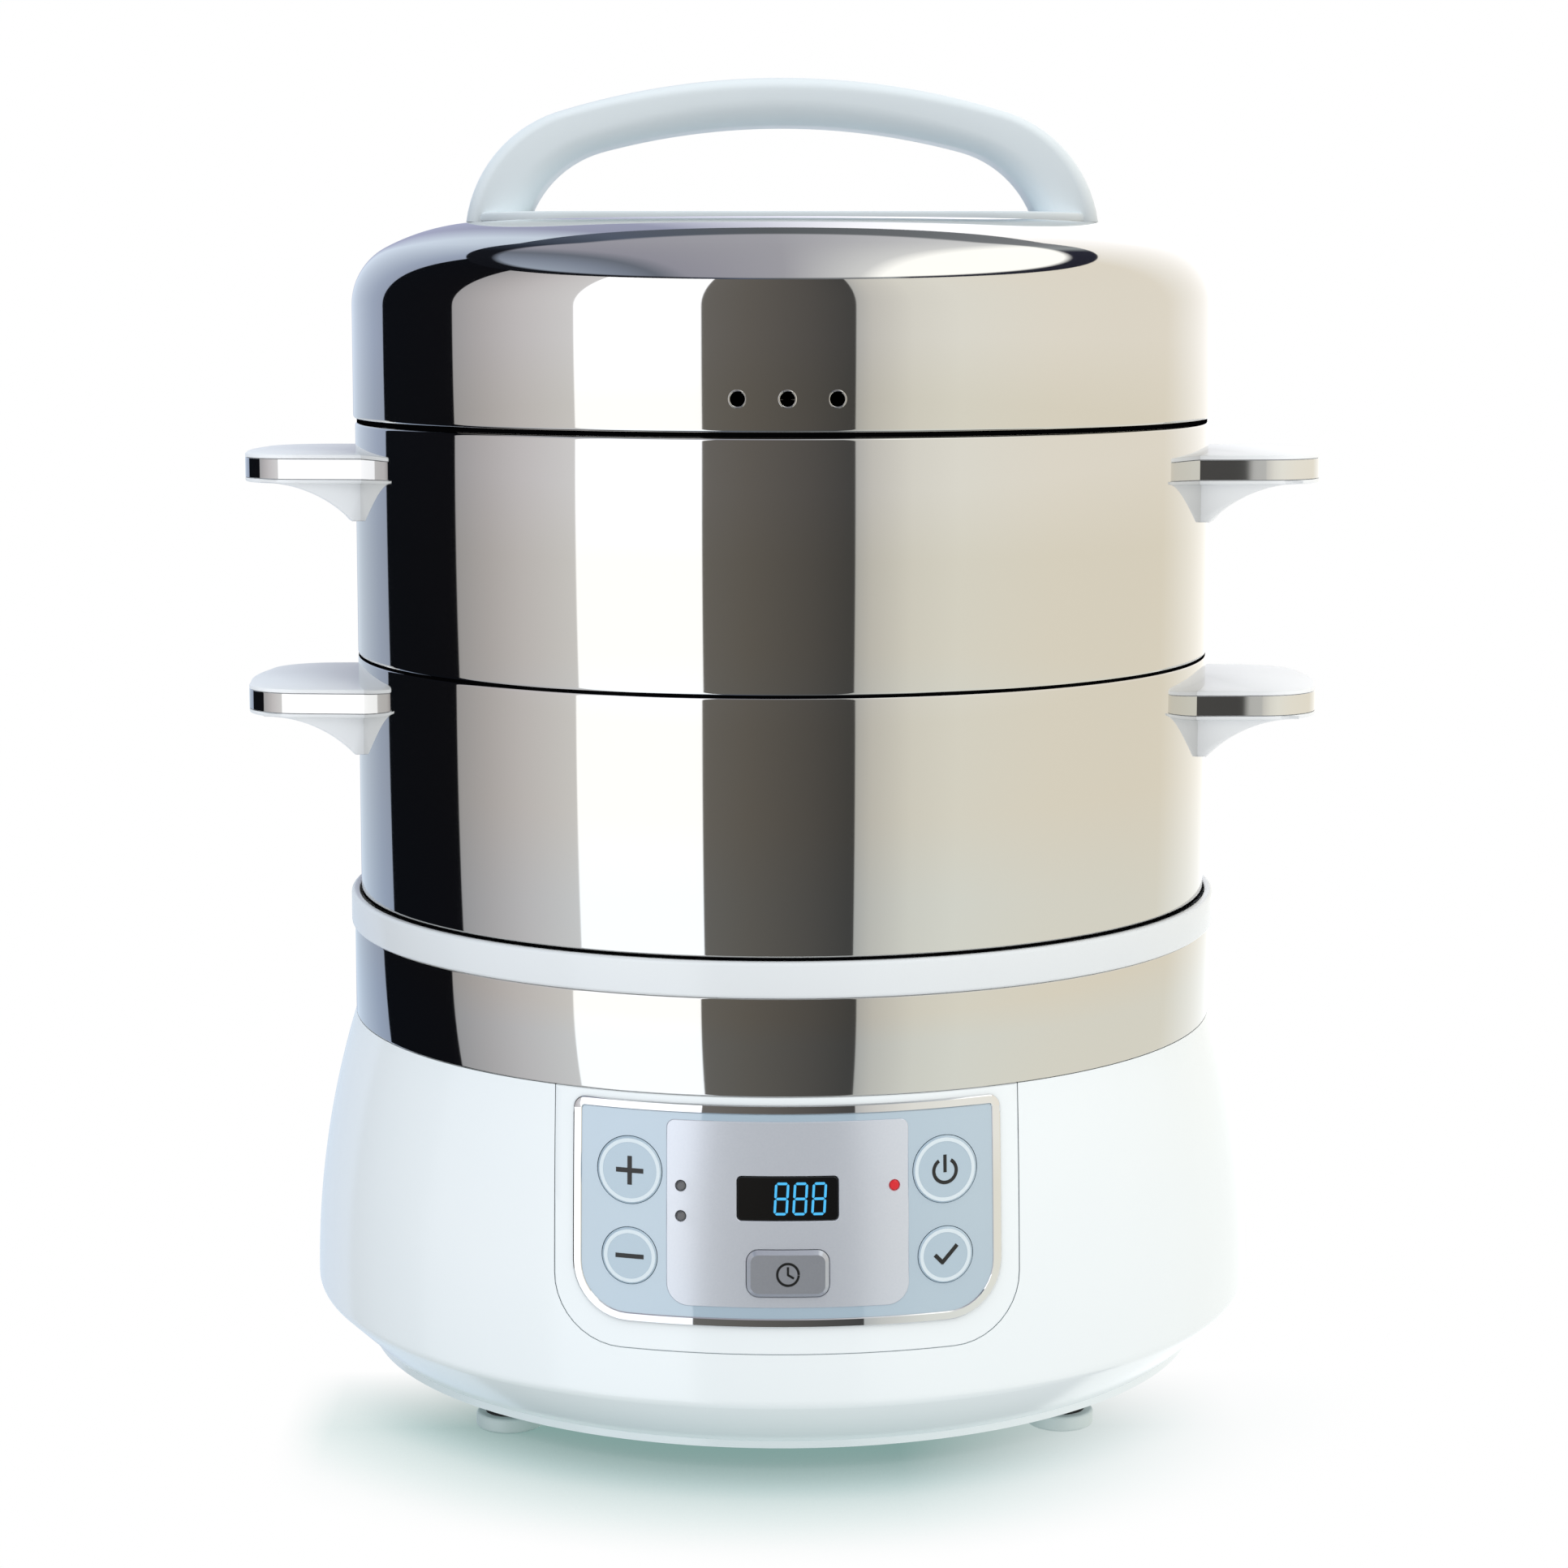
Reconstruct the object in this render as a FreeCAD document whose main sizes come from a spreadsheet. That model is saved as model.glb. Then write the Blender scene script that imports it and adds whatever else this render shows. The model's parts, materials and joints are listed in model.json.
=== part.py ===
"""Two-tier electric food steamer, built as a parametric document of separate pieces.

Millimetres, +Z up, origin on the floor under the centre of the feet. The control panel faces -Y
and the side handles point along X. Round pieces are bodies turned about Z, screws and holes are
primitives, and the pieces that follow the flared front of the base are cut from its own skin.
"""
import FreeCAD
import Part
import math
import os
import re
import Sketcher

SIZES = {
    # Base
    "foot_height": 8.2,
    "foot_radius": 9.0,
    "foot_inset": 13.2,
    "foot_stem_radius": 3.0,
    "cover_thickness": 2.0,
    "cover_gap": 0.7,
    "bottom_bevel": 14.5,
    "belly_run": 11.5,
    "belly_height": 26.0,
    "belly_round": 4.0,
    "housing_wall": 2.5,
    "housing_height": 90.9,
    "bottom_flange_width": 14.9,
    "top_flange_width": 11.9,
    "screw_boss_radius": 4.0,
    "screw_boss_height": 10.0,
    "cover_screw_inset": 8.9,
    # Steel band and water tank
    "band_overhang": 1.9,
    "band_wall": 0.8,
    "band_height": 25.5,
    "tank_gap": 3.6,
    "tank_wall": 2.5,
    "tank_floor_height": 60.0,
    "heater_opening_radius": 38.0,
    # Heater
    "heater_radius": 54.0,
    "heater_thickness": 2.0,
    "heater_rim_radius": 46.0,
    "seal_thickness": 1.5,
    "seal_width": 6.5,
    "element_circle": 32.0,
    "element_radius": 3.3,
    "element_terminal": 14.0,
    "thermostat_radius": 9.0,
    "thermostat_height": 11.0,
    "fuse_radius": 2.0,
    "fuse_length": 14.0,
    "fuse_offset": 17.0,
    "heater_screw_circle": 49.8,
    # Electronics
    "board_thickness": 1.6,
    "power_board_length": 90.0,
    "power_board_width": 60.0,
    "power_board_inset": 63.2,
    "power_board_post": 6.0,
    "power_screw_inset": 6.0,
    "post_radius": 3.2,
    "transformer_side": 30.0,
    "transformer_height": 22.0,
    "relay_length": 20.0,
    "relay_width": 16.0,
    "relay_height": 15.0,
    "control_board_gap": 1.0,
    "control_board_width": 100.0,
    "control_board_drop": 55.1,
    "control_board_height": 49.0,
    "control_screw_offset": 25.0,
    "control_screw_low_drop": 51.1,
    "control_screw_high_drop": 10.1,
    "control_boss_radius": 3.0,
    "switch_side": 6.0,
    "switch_height": 1.6,
    "module_width": 30.0,
    "module_height": 14.0,
    "module_depth": 13.5,
    # Control panel
    "insert_half_width": 59.4,
    "insert_drop": 63.3,
    "insert_corner": 17.0,
    "trim_half_width": 54.6,
    "trim_drop": 56.3,
    "trim_top_gap": 1.8,
    "trim_corner": 14.0,
    "trim_top_corner": 3.0,
    "trim_width": 1.9,
    "trim_proud": 0.9,
    "adhesive": 0.1,
    "overlay_thickness": 0.5,
    "plate_half_width": 30.6,
    "plate_drop": 51.3,
    "plate_top_drop": 5.7,
    "plate_corner": 5.5,
    "plate_proud": 0.7,
    "display_half_width": 12.9,
    "display_height": 11.0,
    "display_drop": 24.3,
    "display_corner": 1.3,
    "lens_thickness": 2.0,
    "led_radius": 1.4,
    "led_offset": 27.0,
    "led_high_drop": 21.7,
    "led_low_drop": 29.1,
    "button_offset": 40.0,
    "button_high_drop": 18.7,
    "button_low_drop": 39.8,
    "large_button_radius": 8.2,
    "small_button_radius": 7.0,
    "button_proud": 1.3,
    "button_lip": 1.2,
    "button_stem_radius": 2.0,
    "button_travel": 0.8,
    "delay_half_width": 10.4,
    "delay_height": 11.6,
    "delay_drop": 42.7,
    "delay_corner": 3.0,
    "delay_proud": 1.8,
    # Cord gland
    "gland_height": 60.0,
    "gland_bore": 3.4,
    "gland_radius": 5.2,
    "gland_flange_radius": 8.0,
    "gland_flange": 1.8,
    # Drip tray
    "tray_overhang": 2.8,
    "tray_wall": 2.4,
    "tray_rim_height": 9.4,
    "gutter_clearance": 2.0,
    "gutter_depth": 14.6,
    "steam_opening_radius": 38.0,
    # Baskets
    "basket_radius": 120.0,
    "basket_wall": 0.8,
    "basket_height": 66.8,
    "rim_width": 1.6,
    "rim_height": 2.4,
    "foot_ring_step": 2.4,
    "foot_ring_depth": 6.5,
    "floor_ledge_width": 9.6,
    "floor_thickness": 0.8,
    "floor_hole_radius": 2.2,
    "floor_hole_pitch": 12.0,
    "floor_hole_rings": 8,
    # Side handles
    "handle_half_width": 35.0,
    "handle_reach": 31.0,
    "handle_corner": 13.0,
    "handle_bulge": 1.6,
    "handle_drop": 8.3,
    "handle_lip": 1.1,
    "handle_trim_height": 5.8,
    "handle_trim_wall": 1.2,
    "gusset_half_width": 33.5,
    "gusset_setback": 6.0,
    "gusset_toe": 2.6,
    "gusset_depth": 10.6,
    "gusset_curve": 35.0,
    "handle_screw_spacing": 36.0,
    "handle_screw_drop": 17.0,
    "handle_screw_depth": 8.0,
    # Lid
    "lid_overhang": 0.5,
    "lid_wall": 0.8,
    "lid_gap": 1.5,
    "lid_neck_clearance": 0.5,
    "lid_neck_depth": 6.0,
    "lid_rest_step": 0.6,
    "lid_side_height": 28.9,
    "lid_shoulder_radius": 18.0,
    "lid_shoulder_angle": 62.0,
    "lid_crown_radius": 60.0,
    "vent_radius": 2.0,
    "vent_spacing": 12.4,
    "vent_height": 6.1,
    # Lid handle
    "arch_height": 40.1,
    "arch_corner_inset": 29.8,
    "arch_corner_drop": 5.0,
    "arch_corner_radius": 37.0,
    "arch_opening_height": 25.2,
    "arch_opening_inset": 40.8,
    "arch_opening_drop": 9.0,
    "arch_opening_radius": 30.0,
    "arch_depth": 30.0,
    "arch_round": 4.5,
    "handle_plate_overhang": 6.2,
    "handle_plate_width": 62.0,
    "handle_plate_thickness": 2.6,
    "lid_screw_inset": 7.8,
    "lid_screw_depth": 14.0,
    "washer_radius": 7.0,
    "washer_thickness": 1.0,
    # Shared fasteners and clearances
    "screw_radius": 1.5,
    "screw_head_radius": 3.0,
    "screw_head_height": 1.8,
    "stout_screw_radius": 2.0,
    "stout_head_radius": 4.0,
    "stout_head_height": 1.6,
    "thread_clearance": 0.05,
    "hole_clearance": 0.2,
    "fit_clearance": 0.15,
    "running_clearance": 0.3,
}

# Heights and radii that several pieces share, as expressions of the sheet's cells
COVER_TOP = "foot_height + cover_thickness"
HOUSING_TOP = f"({COVER_TOP} + housing_height)"
BAND_TOP = f"({HOUSING_TOP} + band_height)"
TRAY_TOP = f"({BAND_TOP} + tray_rim_height)"
LOWER_RIM = f"({TRAY_TOP} + basket_height)"
UPPER_RIM = f"({LOWER_RIM} + basket_height)"
LID_EDGE = f"({UPPER_RIM} + lid_gap)"
LID_SIDE_TOP = f"({LID_EDGE} + lid_side_height)"
LID_CROWN_STEP = "(lid_crown_radius - lid_shoulder_radius)"
LID_TOP = f"({LID_SIDE_TOP} + lid_crown_radius - {LID_CROWN_STEP} * sin(lid_shoulder_angle))"
LID_RADIUS = "(basket_radius + lid_overhang)"
LID_NECK = "(basket_radius - rim_width - lid_neck_clearance)"
LID_REST = "(basket_radius - lid_rest_step)"
LID_FLAT = f"({LID_RADIUS} - lid_shoulder_radius - {LID_CROWN_STEP} * cos(lid_shoulder_angle))"
LID_SCREW_OFFSET = f"({LID_FLAT} - lid_screw_inset)"
FOOT_RING = "(basket_radius - foot_ring_step)"
FLOOR_LEDGE = f"({FOOT_RING} - floor_ledge_width)"
HANDLE_TIP = "(basket_radius + handle_reach)"
TRAY_RADIUS = "(basket_radius + tray_overhang)"
BAND_RADIUS = "(basket_radius + band_overhang)"
BELLY_RADIUS = f"({BAND_RADIUS} + belly_run)"
TOP_FLANGE = f"({BAND_RADIUS} - top_flange_width)"
BOTTOM_RADIUS = f"({BELLY_RADIUS} - bottom_bevel)"
BOTTOM_FLANGE = f"({BOTTOM_RADIUS} - bottom_flange_width)"
COVER_RADIUS = f"({BOTTOM_RADIUS} - cover_gap)"
FOOT_CIRCLE = f"({COVER_RADIUS} - foot_inset)"
COVER_SCREW_CIRCLE = f"({BOTTOM_RADIUS} - cover_screw_inset)"
POWER_BOARD_OFFSET = f"({COVER_RADIUS} - power_board_inset)"
BELLY_RISE = f"({HOUSING_TOP} - belly_height)"
FLARE = f"(({BELLY_RISE}^2 + belly_run^2) / (2 * belly_run))"


def flare_radius(offset, height):
    """The radius of the flared wall, moved out by an offset, at a height."""
    return f"({BELLY_RADIUS} - {FLARE} + sqrt(({FLARE} + {offset})^2 - ({height} - belly_height)^2))"


# The panel's levels hang from the top of the housing
INSERT_BOTTOM = f"({HOUSING_TOP} - insert_drop)"
TRIM_BOTTOM = f"({HOUSING_TOP} - trim_drop)"
PLATE_BOTTOM = f"({HOUSING_TOP} - plate_drop)"
PLATE_TOP = f"({HOUSING_TOP} - plate_top_drop)"
DISPLAY_CENTRE = f"({HOUSING_TOP} - display_drop)"
LED_HIGH = f"({HOUSING_TOP} - led_high_drop)"
LED_LOW = f"({HOUSING_TOP} - led_low_drop)"
BUTTON_HIGH = f"({HOUSING_TOP} - button_high_drop)"
BUTTON_LOW = f"({HOUSING_TOP} - button_low_drop)"
DELAY_CENTRE = f"({HOUSING_TOP} - delay_drop)"
BOARD_BOTTOM = f"({HOUSING_TOP} - control_board_drop)"
CONTROL_SCREW_LOW = f"({HOUSING_TOP} - control_screw_low_drop)"
CONTROL_SCREW_HIGH = f"({HOUSING_TOP} - control_screw_high_drop)"

# The outermost button's lip sets how far forward the control board sits, and the board the tank
BUTTON_EDGE = "(button_offset + large_button_radius + button_lip)"
BUTTON_TOP = f"({BUTTON_HIGH} + large_button_radius + button_lip)"
LIP_WALL = flare_radius("-housing_wall", BUTTON_TOP)
LIP_FRONT = f"(sqrt({LIP_WALL}^2 - {BUTTON_EDGE}^2) - running_clearance)"
BOARD_PLANE = f"({LIP_FRONT} - button_lip - switch_height - control_board_gap)"
TANK_RADIUS = f"({BOARD_PLANE} - board_thickness - screw_head_height - tank_gap)"
HEATER_TOP = "(tank_floor_height - seal_thickness)"
HEATER_BOTTOM = f"({HEATER_TOP} - heater_thickness)"
TANK_BORE = f"({TANK_RADIUS} - tank_wall)"
GUTTER_RADIUS = f"({TANK_BORE} - gutter_clearance)"
SQUARE_CORNERS = ((1, 1), (-1, 1), (-1, -1), (1, -1))

doc = FreeCAD.newDocument("food_steamer")
sheet = doc.addObject("Spreadsheet::Sheet", "sizes")
for row, (alias, number) in enumerate(SIZES.items(), start=1):
    sheet.set(f"A{row}", alias)
    sheet.set(f"B{row}", str(number))
    sheet.setAlias(f"B{row}", alias)
doc.recompute()

nodes = []


def bound(expression):
    """The expression with every alias written as a cell of the sheet."""
    def cell(word):
        return f"sizes.{word[0]}" if word[0] in SIZES else word[0]

    return re.sub(r"[a-z][a-z_]*", cell, expression)


def size(expression):
    """The number that an expression of aliases has now."""
    return float(sheet.evalExpression(bound(str(expression))))


def vector(x=0.0, y=0.0, z=0.0):
    return FreeCAD.Vector(x, y, z)


def node(piece, label):
    """Mark an object of the document as a sub-part with its own name."""
    piece.Label = label
    nodes.append(piece)
    return piece


def solid_node(label, shape):
    """A sub-part whose shape is set directly, with its fusion seams cleaned away."""
    piece = doc.addObject("Part::Feature", label)
    piece.Shape = shape.removeSplitter() if shape.ShapeType == "Solid" else shape
    return node(piece, label)


def turned(name, outline):
    """A body turned about Z from a closed outline of (radius, height) expressions.

    A point with a third and fourth entry starts an arc: its radius, and 1 or -1 for a centre that
    lies left or right of the way along the outline.
    """
    body = doc.addObject("PartDesign::Body", name)
    sketch = body.newObject("Sketcher::SketchObject", f"{name}_outline")
    plane = next(part for part in body.Origin.OriginFeatures if part.Role == "XZ_Plane")
    sketch.AttachmentSupport = [(plane, "")]
    sketch.MapMode = "FlatFace"
    points = [vector(size(entry[0]), size(entry[1])) for entry in outline]
    starts = []
    ends = []
    for index, entry in enumerate(outline):
        start = points[index]
        end = points[(index + 1) % len(points)]
        if len(entry) == 2:
            sketch.addGeometry(Part.LineSegment(start, end), False)
            starts.append((index, 1))
            ends.append((index, 2))
            continue
        radius = size(entry[2])
        chord = end - start
        left = vector(-chord.y, chord.x).normalize()
        rise = math.sqrt(max(radius**2 - (chord.Length / 2) ** 2, 0.0))
        centre = (start + end) * 0.5 + left * (rise * entry[3])
        first, last = (start, end) if entry[3] > 0 else (end, start)
        angles = [math.atan2(point.y - centre.y, point.x - centre.x) for point in (first, last)]
        circle = Part.Circle(centre, vector(z=1), radius)
        sketch.addGeometry(Part.ArcOfCircle(circle, *angles), False)
        bend = sketch.addConstraint(Sketcher.Constraint("Radius", index, radius))
        sketch.setExpression(f"Constraints[{bend}]", bound(entry[2]))
        starts.append((index, 1 if entry[3] > 0 else 2))
        ends.append((index, 2 if entry[3] > 0 else 1))
    for index, entry in enumerate(outline):
        following = starts[(index + 1) % len(points)]
        sketch.addConstraint(Sketcher.Constraint("Coincident", *ends[index], *following))
        if entry[0] == "0":
            sketch.addConstraint(Sketcher.Constraint("PointOnObject", *starts[index], -2))
        else:
            across = Sketcher.Constraint("DistanceX", -1, 1, *starts[index], points[index].x)
            sketch.setExpression(f"Constraints[{sketch.addConstraint(across)}]", bound(entry[0]))
        up = Sketcher.Constraint("DistanceY", -1, 1, *starts[index], points[index].y)
        sketch.setExpression(f"Constraints[{sketch.addConstraint(up)}]", bound(entry[1]))
    turn = body.newObject("PartDesign::Revolution", f"{name}_turn")
    turn.Profile = sketch
    turn.ReferenceAxis = (sketch, ["V_Axis"])
    turn.Angle = 360
    return body


def rod(name, radius, length, base, way="z"):
    """A cylinder from a base point along an axis, every size and coordinate bound to the sheet."""
    cylinder = doc.addObject("Part::Cylinder", name)
    cylinder.setExpression("Radius", bound(radius))
    cylinder.setExpression("Height", bound(length))
    tilt = {"z": (vector(z=1), 0), "x": (vector(y=1), 90), "-x": (vector(y=1), -90),
            "y": (vector(x=1), -90), "-z": (vector(x=1), 180)}[way]
    cylinder.Placement.Rotation = FreeCAD.Rotation(*tilt)
    for axis, coordinate in zip("xyz", base):
        cylinder.setExpression(f"Placement.Base.{axis}", bound(coordinate))
    return cylinder


def block(name, length, width, height, corner):
    """A box from its low corner, bound to the sheet."""
    box = doc.addObject("Part::Box", name)
    for side, expression in zip(("Length", "Width", "Height"), (length, width, height)):
        box.setExpression(side, bound(expression))
    for axis, coordinate in zip("xyz", corner):
        box.setExpression(f"Placement.Base.{axis}", bound(coordinate))
    return box


def joined(name, pieces):
    """Several objects fused into one."""
    union = doc.addObject("Part::MultiFuse", name)
    union.Shapes = pieces
    return union


def grouped(name, pieces):
    """Several separate solids kept together in one object."""
    group = doc.addObject("Part::Compound", name)
    group.Links = pieces
    return group


def holed(name, base, tools):
    """An object with the tools cut out of it."""
    cut = doc.addObject("Part::Cut", name)
    cut.Base = base
    cut.Tool = grouped(f"{name}_tools", tools)
    return cut


def around(circle, index, count=4, start=45.0):
    """The (x, y) expressions of one place of an even pattern on a circle."""
    angle = math.radians(start + 360.0 / count * index)
    return f"{circle} * {math.cos(angle):.9f}", f"{circle} * {math.sin(angle):.9f}"


def screw(name, base, shaft, length, head, head_height, way, head_way):
    """A screw: its shaft along one way from the seat and its head along the other."""
    return joined(name, [
        rod(f"{name}_shaft", shaft, length, base, way),
        rod(f"{name}_head", head, head_height, base, head_way),
    ])


# Base: bottom cover, feet and flared housing
cover_disc = turned("cover_disc", [
    ("0", "foot_height"),
    (COVER_RADIUS, "foot_height"),
    (COVER_RADIUS, COVER_TOP),
    ("0", COVER_TOP),
])
feet = []
foot_holes = []
cover_screws = []
cover_screw_holes = []
housing_bosses = []
boss_holes = []
for index in range(4):
    x, y = around(FOOT_CIRCLE, index)
    feet.append(joined(f"foot_{index}", [
        rod(f"foot_pad_{index}", "foot_radius", "foot_height", (x, y, "0")),
        rod(f"foot_stem_{index}", "foot_stem_radius", COVER_TOP, (x, y, "0")),
    ]))
    stem_hole = "foot_stem_radius + fit_clearance"
    foot_holes.append(rod(f"foot_hole_{index}", stem_hole, COVER_TOP, (x, y, "0")))
    x, y = around(COVER_SCREW_CIRCLE, index, start=0.0)
    length = "cover_thickness + housing_wall + screw_boss_height - 2"
    cover_screws.append(screw(f"cover_screw_{index}", (x, y, "foot_height"), "screw_radius", length,
                              "screw_head_radius", "screw_head_height", "z", "-z"))
    clear = "screw_radius + hole_clearance"
    cover_screw_holes.append(rod(f"cover_screw_hole_{index}", clear, COVER_TOP, (x, y, "0")))
    boss_base = f"{COVER_TOP} + housing_wall / 2"
    boss_length = "housing_wall / 2 + screw_boss_height"
    housing_bosses.append(rod(f"housing_boss_{index}", "screw_boss_radius", boss_length, (x, y, boss_base)))
    tapped = "screw_radius + thread_clearance"
    boss_holes.append(rod(f"boss_hole_{index}", tapped, length, (x, y, "foot_height")))

POST_TOP = f"({COVER_TOP} + power_board_post)"
POWER_BOARD_TOP = f"({POST_TOP} + board_thickness)"
board_posts = []
post_holes = []
power_board_holes = []
power_board_screws = []
for index, (across, along) in enumerate(SQUARE_CORNERS):
    x = f"{POWER_BOARD_OFFSET} + {across} * (power_board_width / 2 - power_screw_inset)"
    y = f"{along} * (power_board_length / 2 - power_screw_inset)"
    post = "power_board_post + cover_thickness / 2"
    depth = "power_board_post"
    post_base = "foot_height + cover_thickness / 2"
    tapped = "screw_radius + thread_clearance"
    clear = "screw_radius + hole_clearance"
    board_posts.append(rod(f"board_post_{index}", "post_radius", post, (x, y, post_base)))
    post_holes.append(rod(f"post_hole_{index}", tapped, depth, (x, y, COVER_TOP)))
    power_board_holes.append(rod(f"power_hole_{index}", clear, POWER_BOARD_TOP, (x, y, "0")))
    power_board_screws.append(screw(f"power_screw_{index}", (x, y, POWER_BOARD_TOP), "screw_radius",
                                    "power_board_post + board_thickness - 1", "screw_head_radius",
                                    "screw_head_height", "-z", "z"))

cover_solid = joined("cover_solid", [cover_disc] + board_posts)
node(holed("bottom_cover", cover_solid, foot_holes + cover_screw_holes + post_holes), "bottom_cover")
node(grouped("feet", feet), "feet")
node(grouped("cover_screws", cover_screws), "cover_screws")

BEVEL_IN = "(housing_wall * 0.4)"
FLANGE_TOP = f"({COVER_TOP} + housing_wall)"
housing_turn = turned("housing_turn", [
    (BOTTOM_FLANGE, COVER_TOP),
    (BOTTOM_RADIUS, COVER_TOP),
    (f"{BELLY_RADIUS} - 0.293 * belly_round", "belly_height - 0.707 * belly_round", "belly_round", 1),
    (BELLY_RADIUS, "belly_height", FLARE, 1),
    (BAND_RADIUS, HOUSING_TOP),
    (TOP_FLANGE, HOUSING_TOP),
    (TOP_FLANGE, f"{HOUSING_TOP} - housing_wall"),
    (flare_radius("-housing_wall", f"({HOUSING_TOP} - housing_wall)"), f"{HOUSING_TOP} - housing_wall",
     f"{FLARE} - housing_wall", -1),
    (f"{BELLY_RADIUS} - housing_wall", "belly_height"),
    (f"{BOTTOM_RADIUS} - {BEVEL_IN}", FLANGE_TOP),
    (BOTTOM_FLANGE, FLANGE_TOP),
])
GLAND_SEAT = flare_radius("0", "gland_height")
gland_hole = rod("gland_hole", "gland_radius + fit_clearance", "housing_wall * 4",
                 ("0", f"{GLAND_SEAT} - housing_wall * 3", "gland_height"), "y")
housing_solid = joined("housing_solid", [housing_turn] + housing_bosses)
housing_shell = holed("housing_shell", housing_solid, boss_holes + [gland_hole])

# Steel band, water tank and heater
node(turned("steel_band", [
    (f"{BAND_RADIUS} - band_wall", HOUSING_TOP),
    (BAND_RADIUS, HOUSING_TOP),
    (BAND_RADIUS, BAND_TOP),
    (f"{BAND_RADIUS} - band_wall", BAND_TOP),
]), "steel_band")

SKIRT = f"({BAND_RADIUS} - band_wall - fit_clearance)"
tank_turn = turned("tank_turn", [
    (f"{SKIRT} - tank_wall", HOUSING_TOP),
    (SKIRT, HOUSING_TOP),
    (SKIRT, BAND_TOP),
    (TANK_BORE, BAND_TOP),
    (TANK_BORE, "tank_floor_height + tank_wall"),
    ("heater_opening_radius", "tank_floor_height + tank_wall"),
    ("heater_opening_radius", "tank_floor_height"),
    ("heater_rim_radius", "tank_floor_height"),
    ("heater_rim_radius", HEATER_TOP),
    ("heater_radius", HEATER_TOP),
    ("heater_radius", "tank_floor_height"),
    (TANK_RADIUS, "tank_floor_height"),
    (TANK_RADIUS, f"{BAND_TOP} - tank_wall"),
    (f"{SKIRT} - tank_wall", f"{BAND_TOP} - tank_wall"),
])
heater_disc = turned("heater_disc", [
    ("0", HEATER_BOTTOM),
    ("heater_radius", HEATER_BOTTOM),
    ("heater_radius", HEATER_TOP),
    ("0", HEATER_TOP),
])
node(turned("heater_seal", [
    ("heater_rim_radius - fit_clearance - seal_width", HEATER_TOP),
    ("heater_rim_radius - fit_clearance", HEATER_TOP),
    ("heater_rim_radius - fit_clearance", "tank_floor_height"),
    ("heater_rim_radius - fit_clearance - seal_width", "tank_floor_height"),
]), "heater_seal")
heater_screws = []
heater_holes = []
tank_holes = []
for index in range(4):
    x, y = around("heater_screw_circle", index)
    length = "heater_thickness + seal_thickness + tank_wall / 2"
    heater_screws.append(screw(f"heater_screw_{index}", (x, y, HEATER_BOTTOM), "screw_radius", length,
                               "screw_head_radius", "screw_head_height", "z", "-z"))
    clear = "screw_radius + hole_clearance"
    heater_holes.append(rod(f"heater_hole_{index}", clear, "heater_thickness", (x, y, HEATER_BOTTOM)))
    tapped = "screw_radius + thread_clearance"
    tank_holes.append(rod(f"tank_hole_{index}", tapped, length, (x, y, HEATER_BOTTOM)))
node(holed("water_tank", tank_turn, tank_holes), "water_tank")
node(holed("heater_plate", heater_disc, heater_holes), "heater_plate")
node(grouped("heater_screws", heater_screws), "heater_screws")

ELEMENT_LEVEL = f"({HEATER_BOTTOM} - element_radius)"
ELEMENT_SPAN = 320.0
element_ring = doc.addObject("Part::Torus", "element_ring")
element_ring.setExpression("Radius1", bound("element_circle"))
element_ring.setExpression("Radius2", bound("element_radius"))
element_ring.setExpression("Placement.Base.z", bound(ELEMENT_LEVEL))
element_ring.Angle3 = ELEMENT_SPAN
terminals = []
for index, angle in enumerate((0.0, math.radians(ELEMENT_SPAN))):
    x = f"element_circle * {math.cos(angle):.9f}"
    y = f"element_circle * {math.sin(angle):.9f}"
    pin = (x, y, ELEMENT_LEVEL)
    terminals.append(rod(f"terminal_{index}", "element_radius", "element_terminal", pin, "-z"))
    terminals.append(doc.addObject("Part::Sphere", f"terminal_bend_{index}"))
    terminals[-1].setExpression("Radius", bound("element_radius"))
    for axis, coordinate in zip("xyz", pin):
        terminals[-1].setExpression(f"Placement.Base.{axis}", bound(coordinate))
node(joined("heating_element", [element_ring] + terminals), "heating_element")
thermostat = rod("thermostat", "thermostat_radius", "thermostat_height", ("0", "0", HEATER_BOTTOM), "-z")
node(thermostat, "thermostat")
node(rod("thermal_fuse", "fuse_radius", "fuse_length",
         ("-fuse_length / 2", "fuse_offset", f"{HEATER_BOTTOM} - fuse_radius"), "x"), "thermal_fuse")

# Power board on its posts
power_sheet = block("power_sheet", "power_board_width", "power_board_length", "board_thickness",
                    (f"{POWER_BOARD_OFFSET} - power_board_width / 2", "-power_board_length / 2", POST_TOP))
node(holed("power_board", power_sheet, power_board_holes), "power_board")
node(grouped("power_board_screws", power_board_screws), "power_board_screws")
transformer_corner = (f"{POWER_BOARD_OFFSET} - transformer_side / 2", "-transformer_side", POWER_BOARD_TOP)
node(block("power_transformer", "transformer_side", "transformer_side", "transformer_height",
           transformer_corner), "power_transformer")
node(block("power_relay", "relay_width", "relay_length", "relay_height",
           (f"{POWER_BOARD_OFFSET} - relay_width / 2", "relay_length / 4", POWER_BOARD_TOP)), "power_relay")
doc.recompute()


# Control panel: its pieces follow the flared wall of the base
FRONT = size(BELLY_RADIUS) + 10.0


def flare_arc(offset):
    """The flared wall's profile, moved out by an offset, from the belly up to the top of the housing."""
    low = size("belly_height")
    flare = size(FLARE)
    centre = size(BELLY_RADIUS) - flare
    rise = size(HOUSING_TOP) - low

    def place(height):
        return vector(centre + math.sqrt((flare + offset) ** 2 - height**2), 0, low + height)

    return Part.Arc(place(0), place(rise / 2), place(rise))


def revolved(edges):
    """The solid that a closed profile of edges sweeps about Z."""
    profile = Part.Face(Part.Wire([edge.toShape() for edge in edges]))
    return profile.revolve(vector(), vector(z=1), 360)


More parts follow.
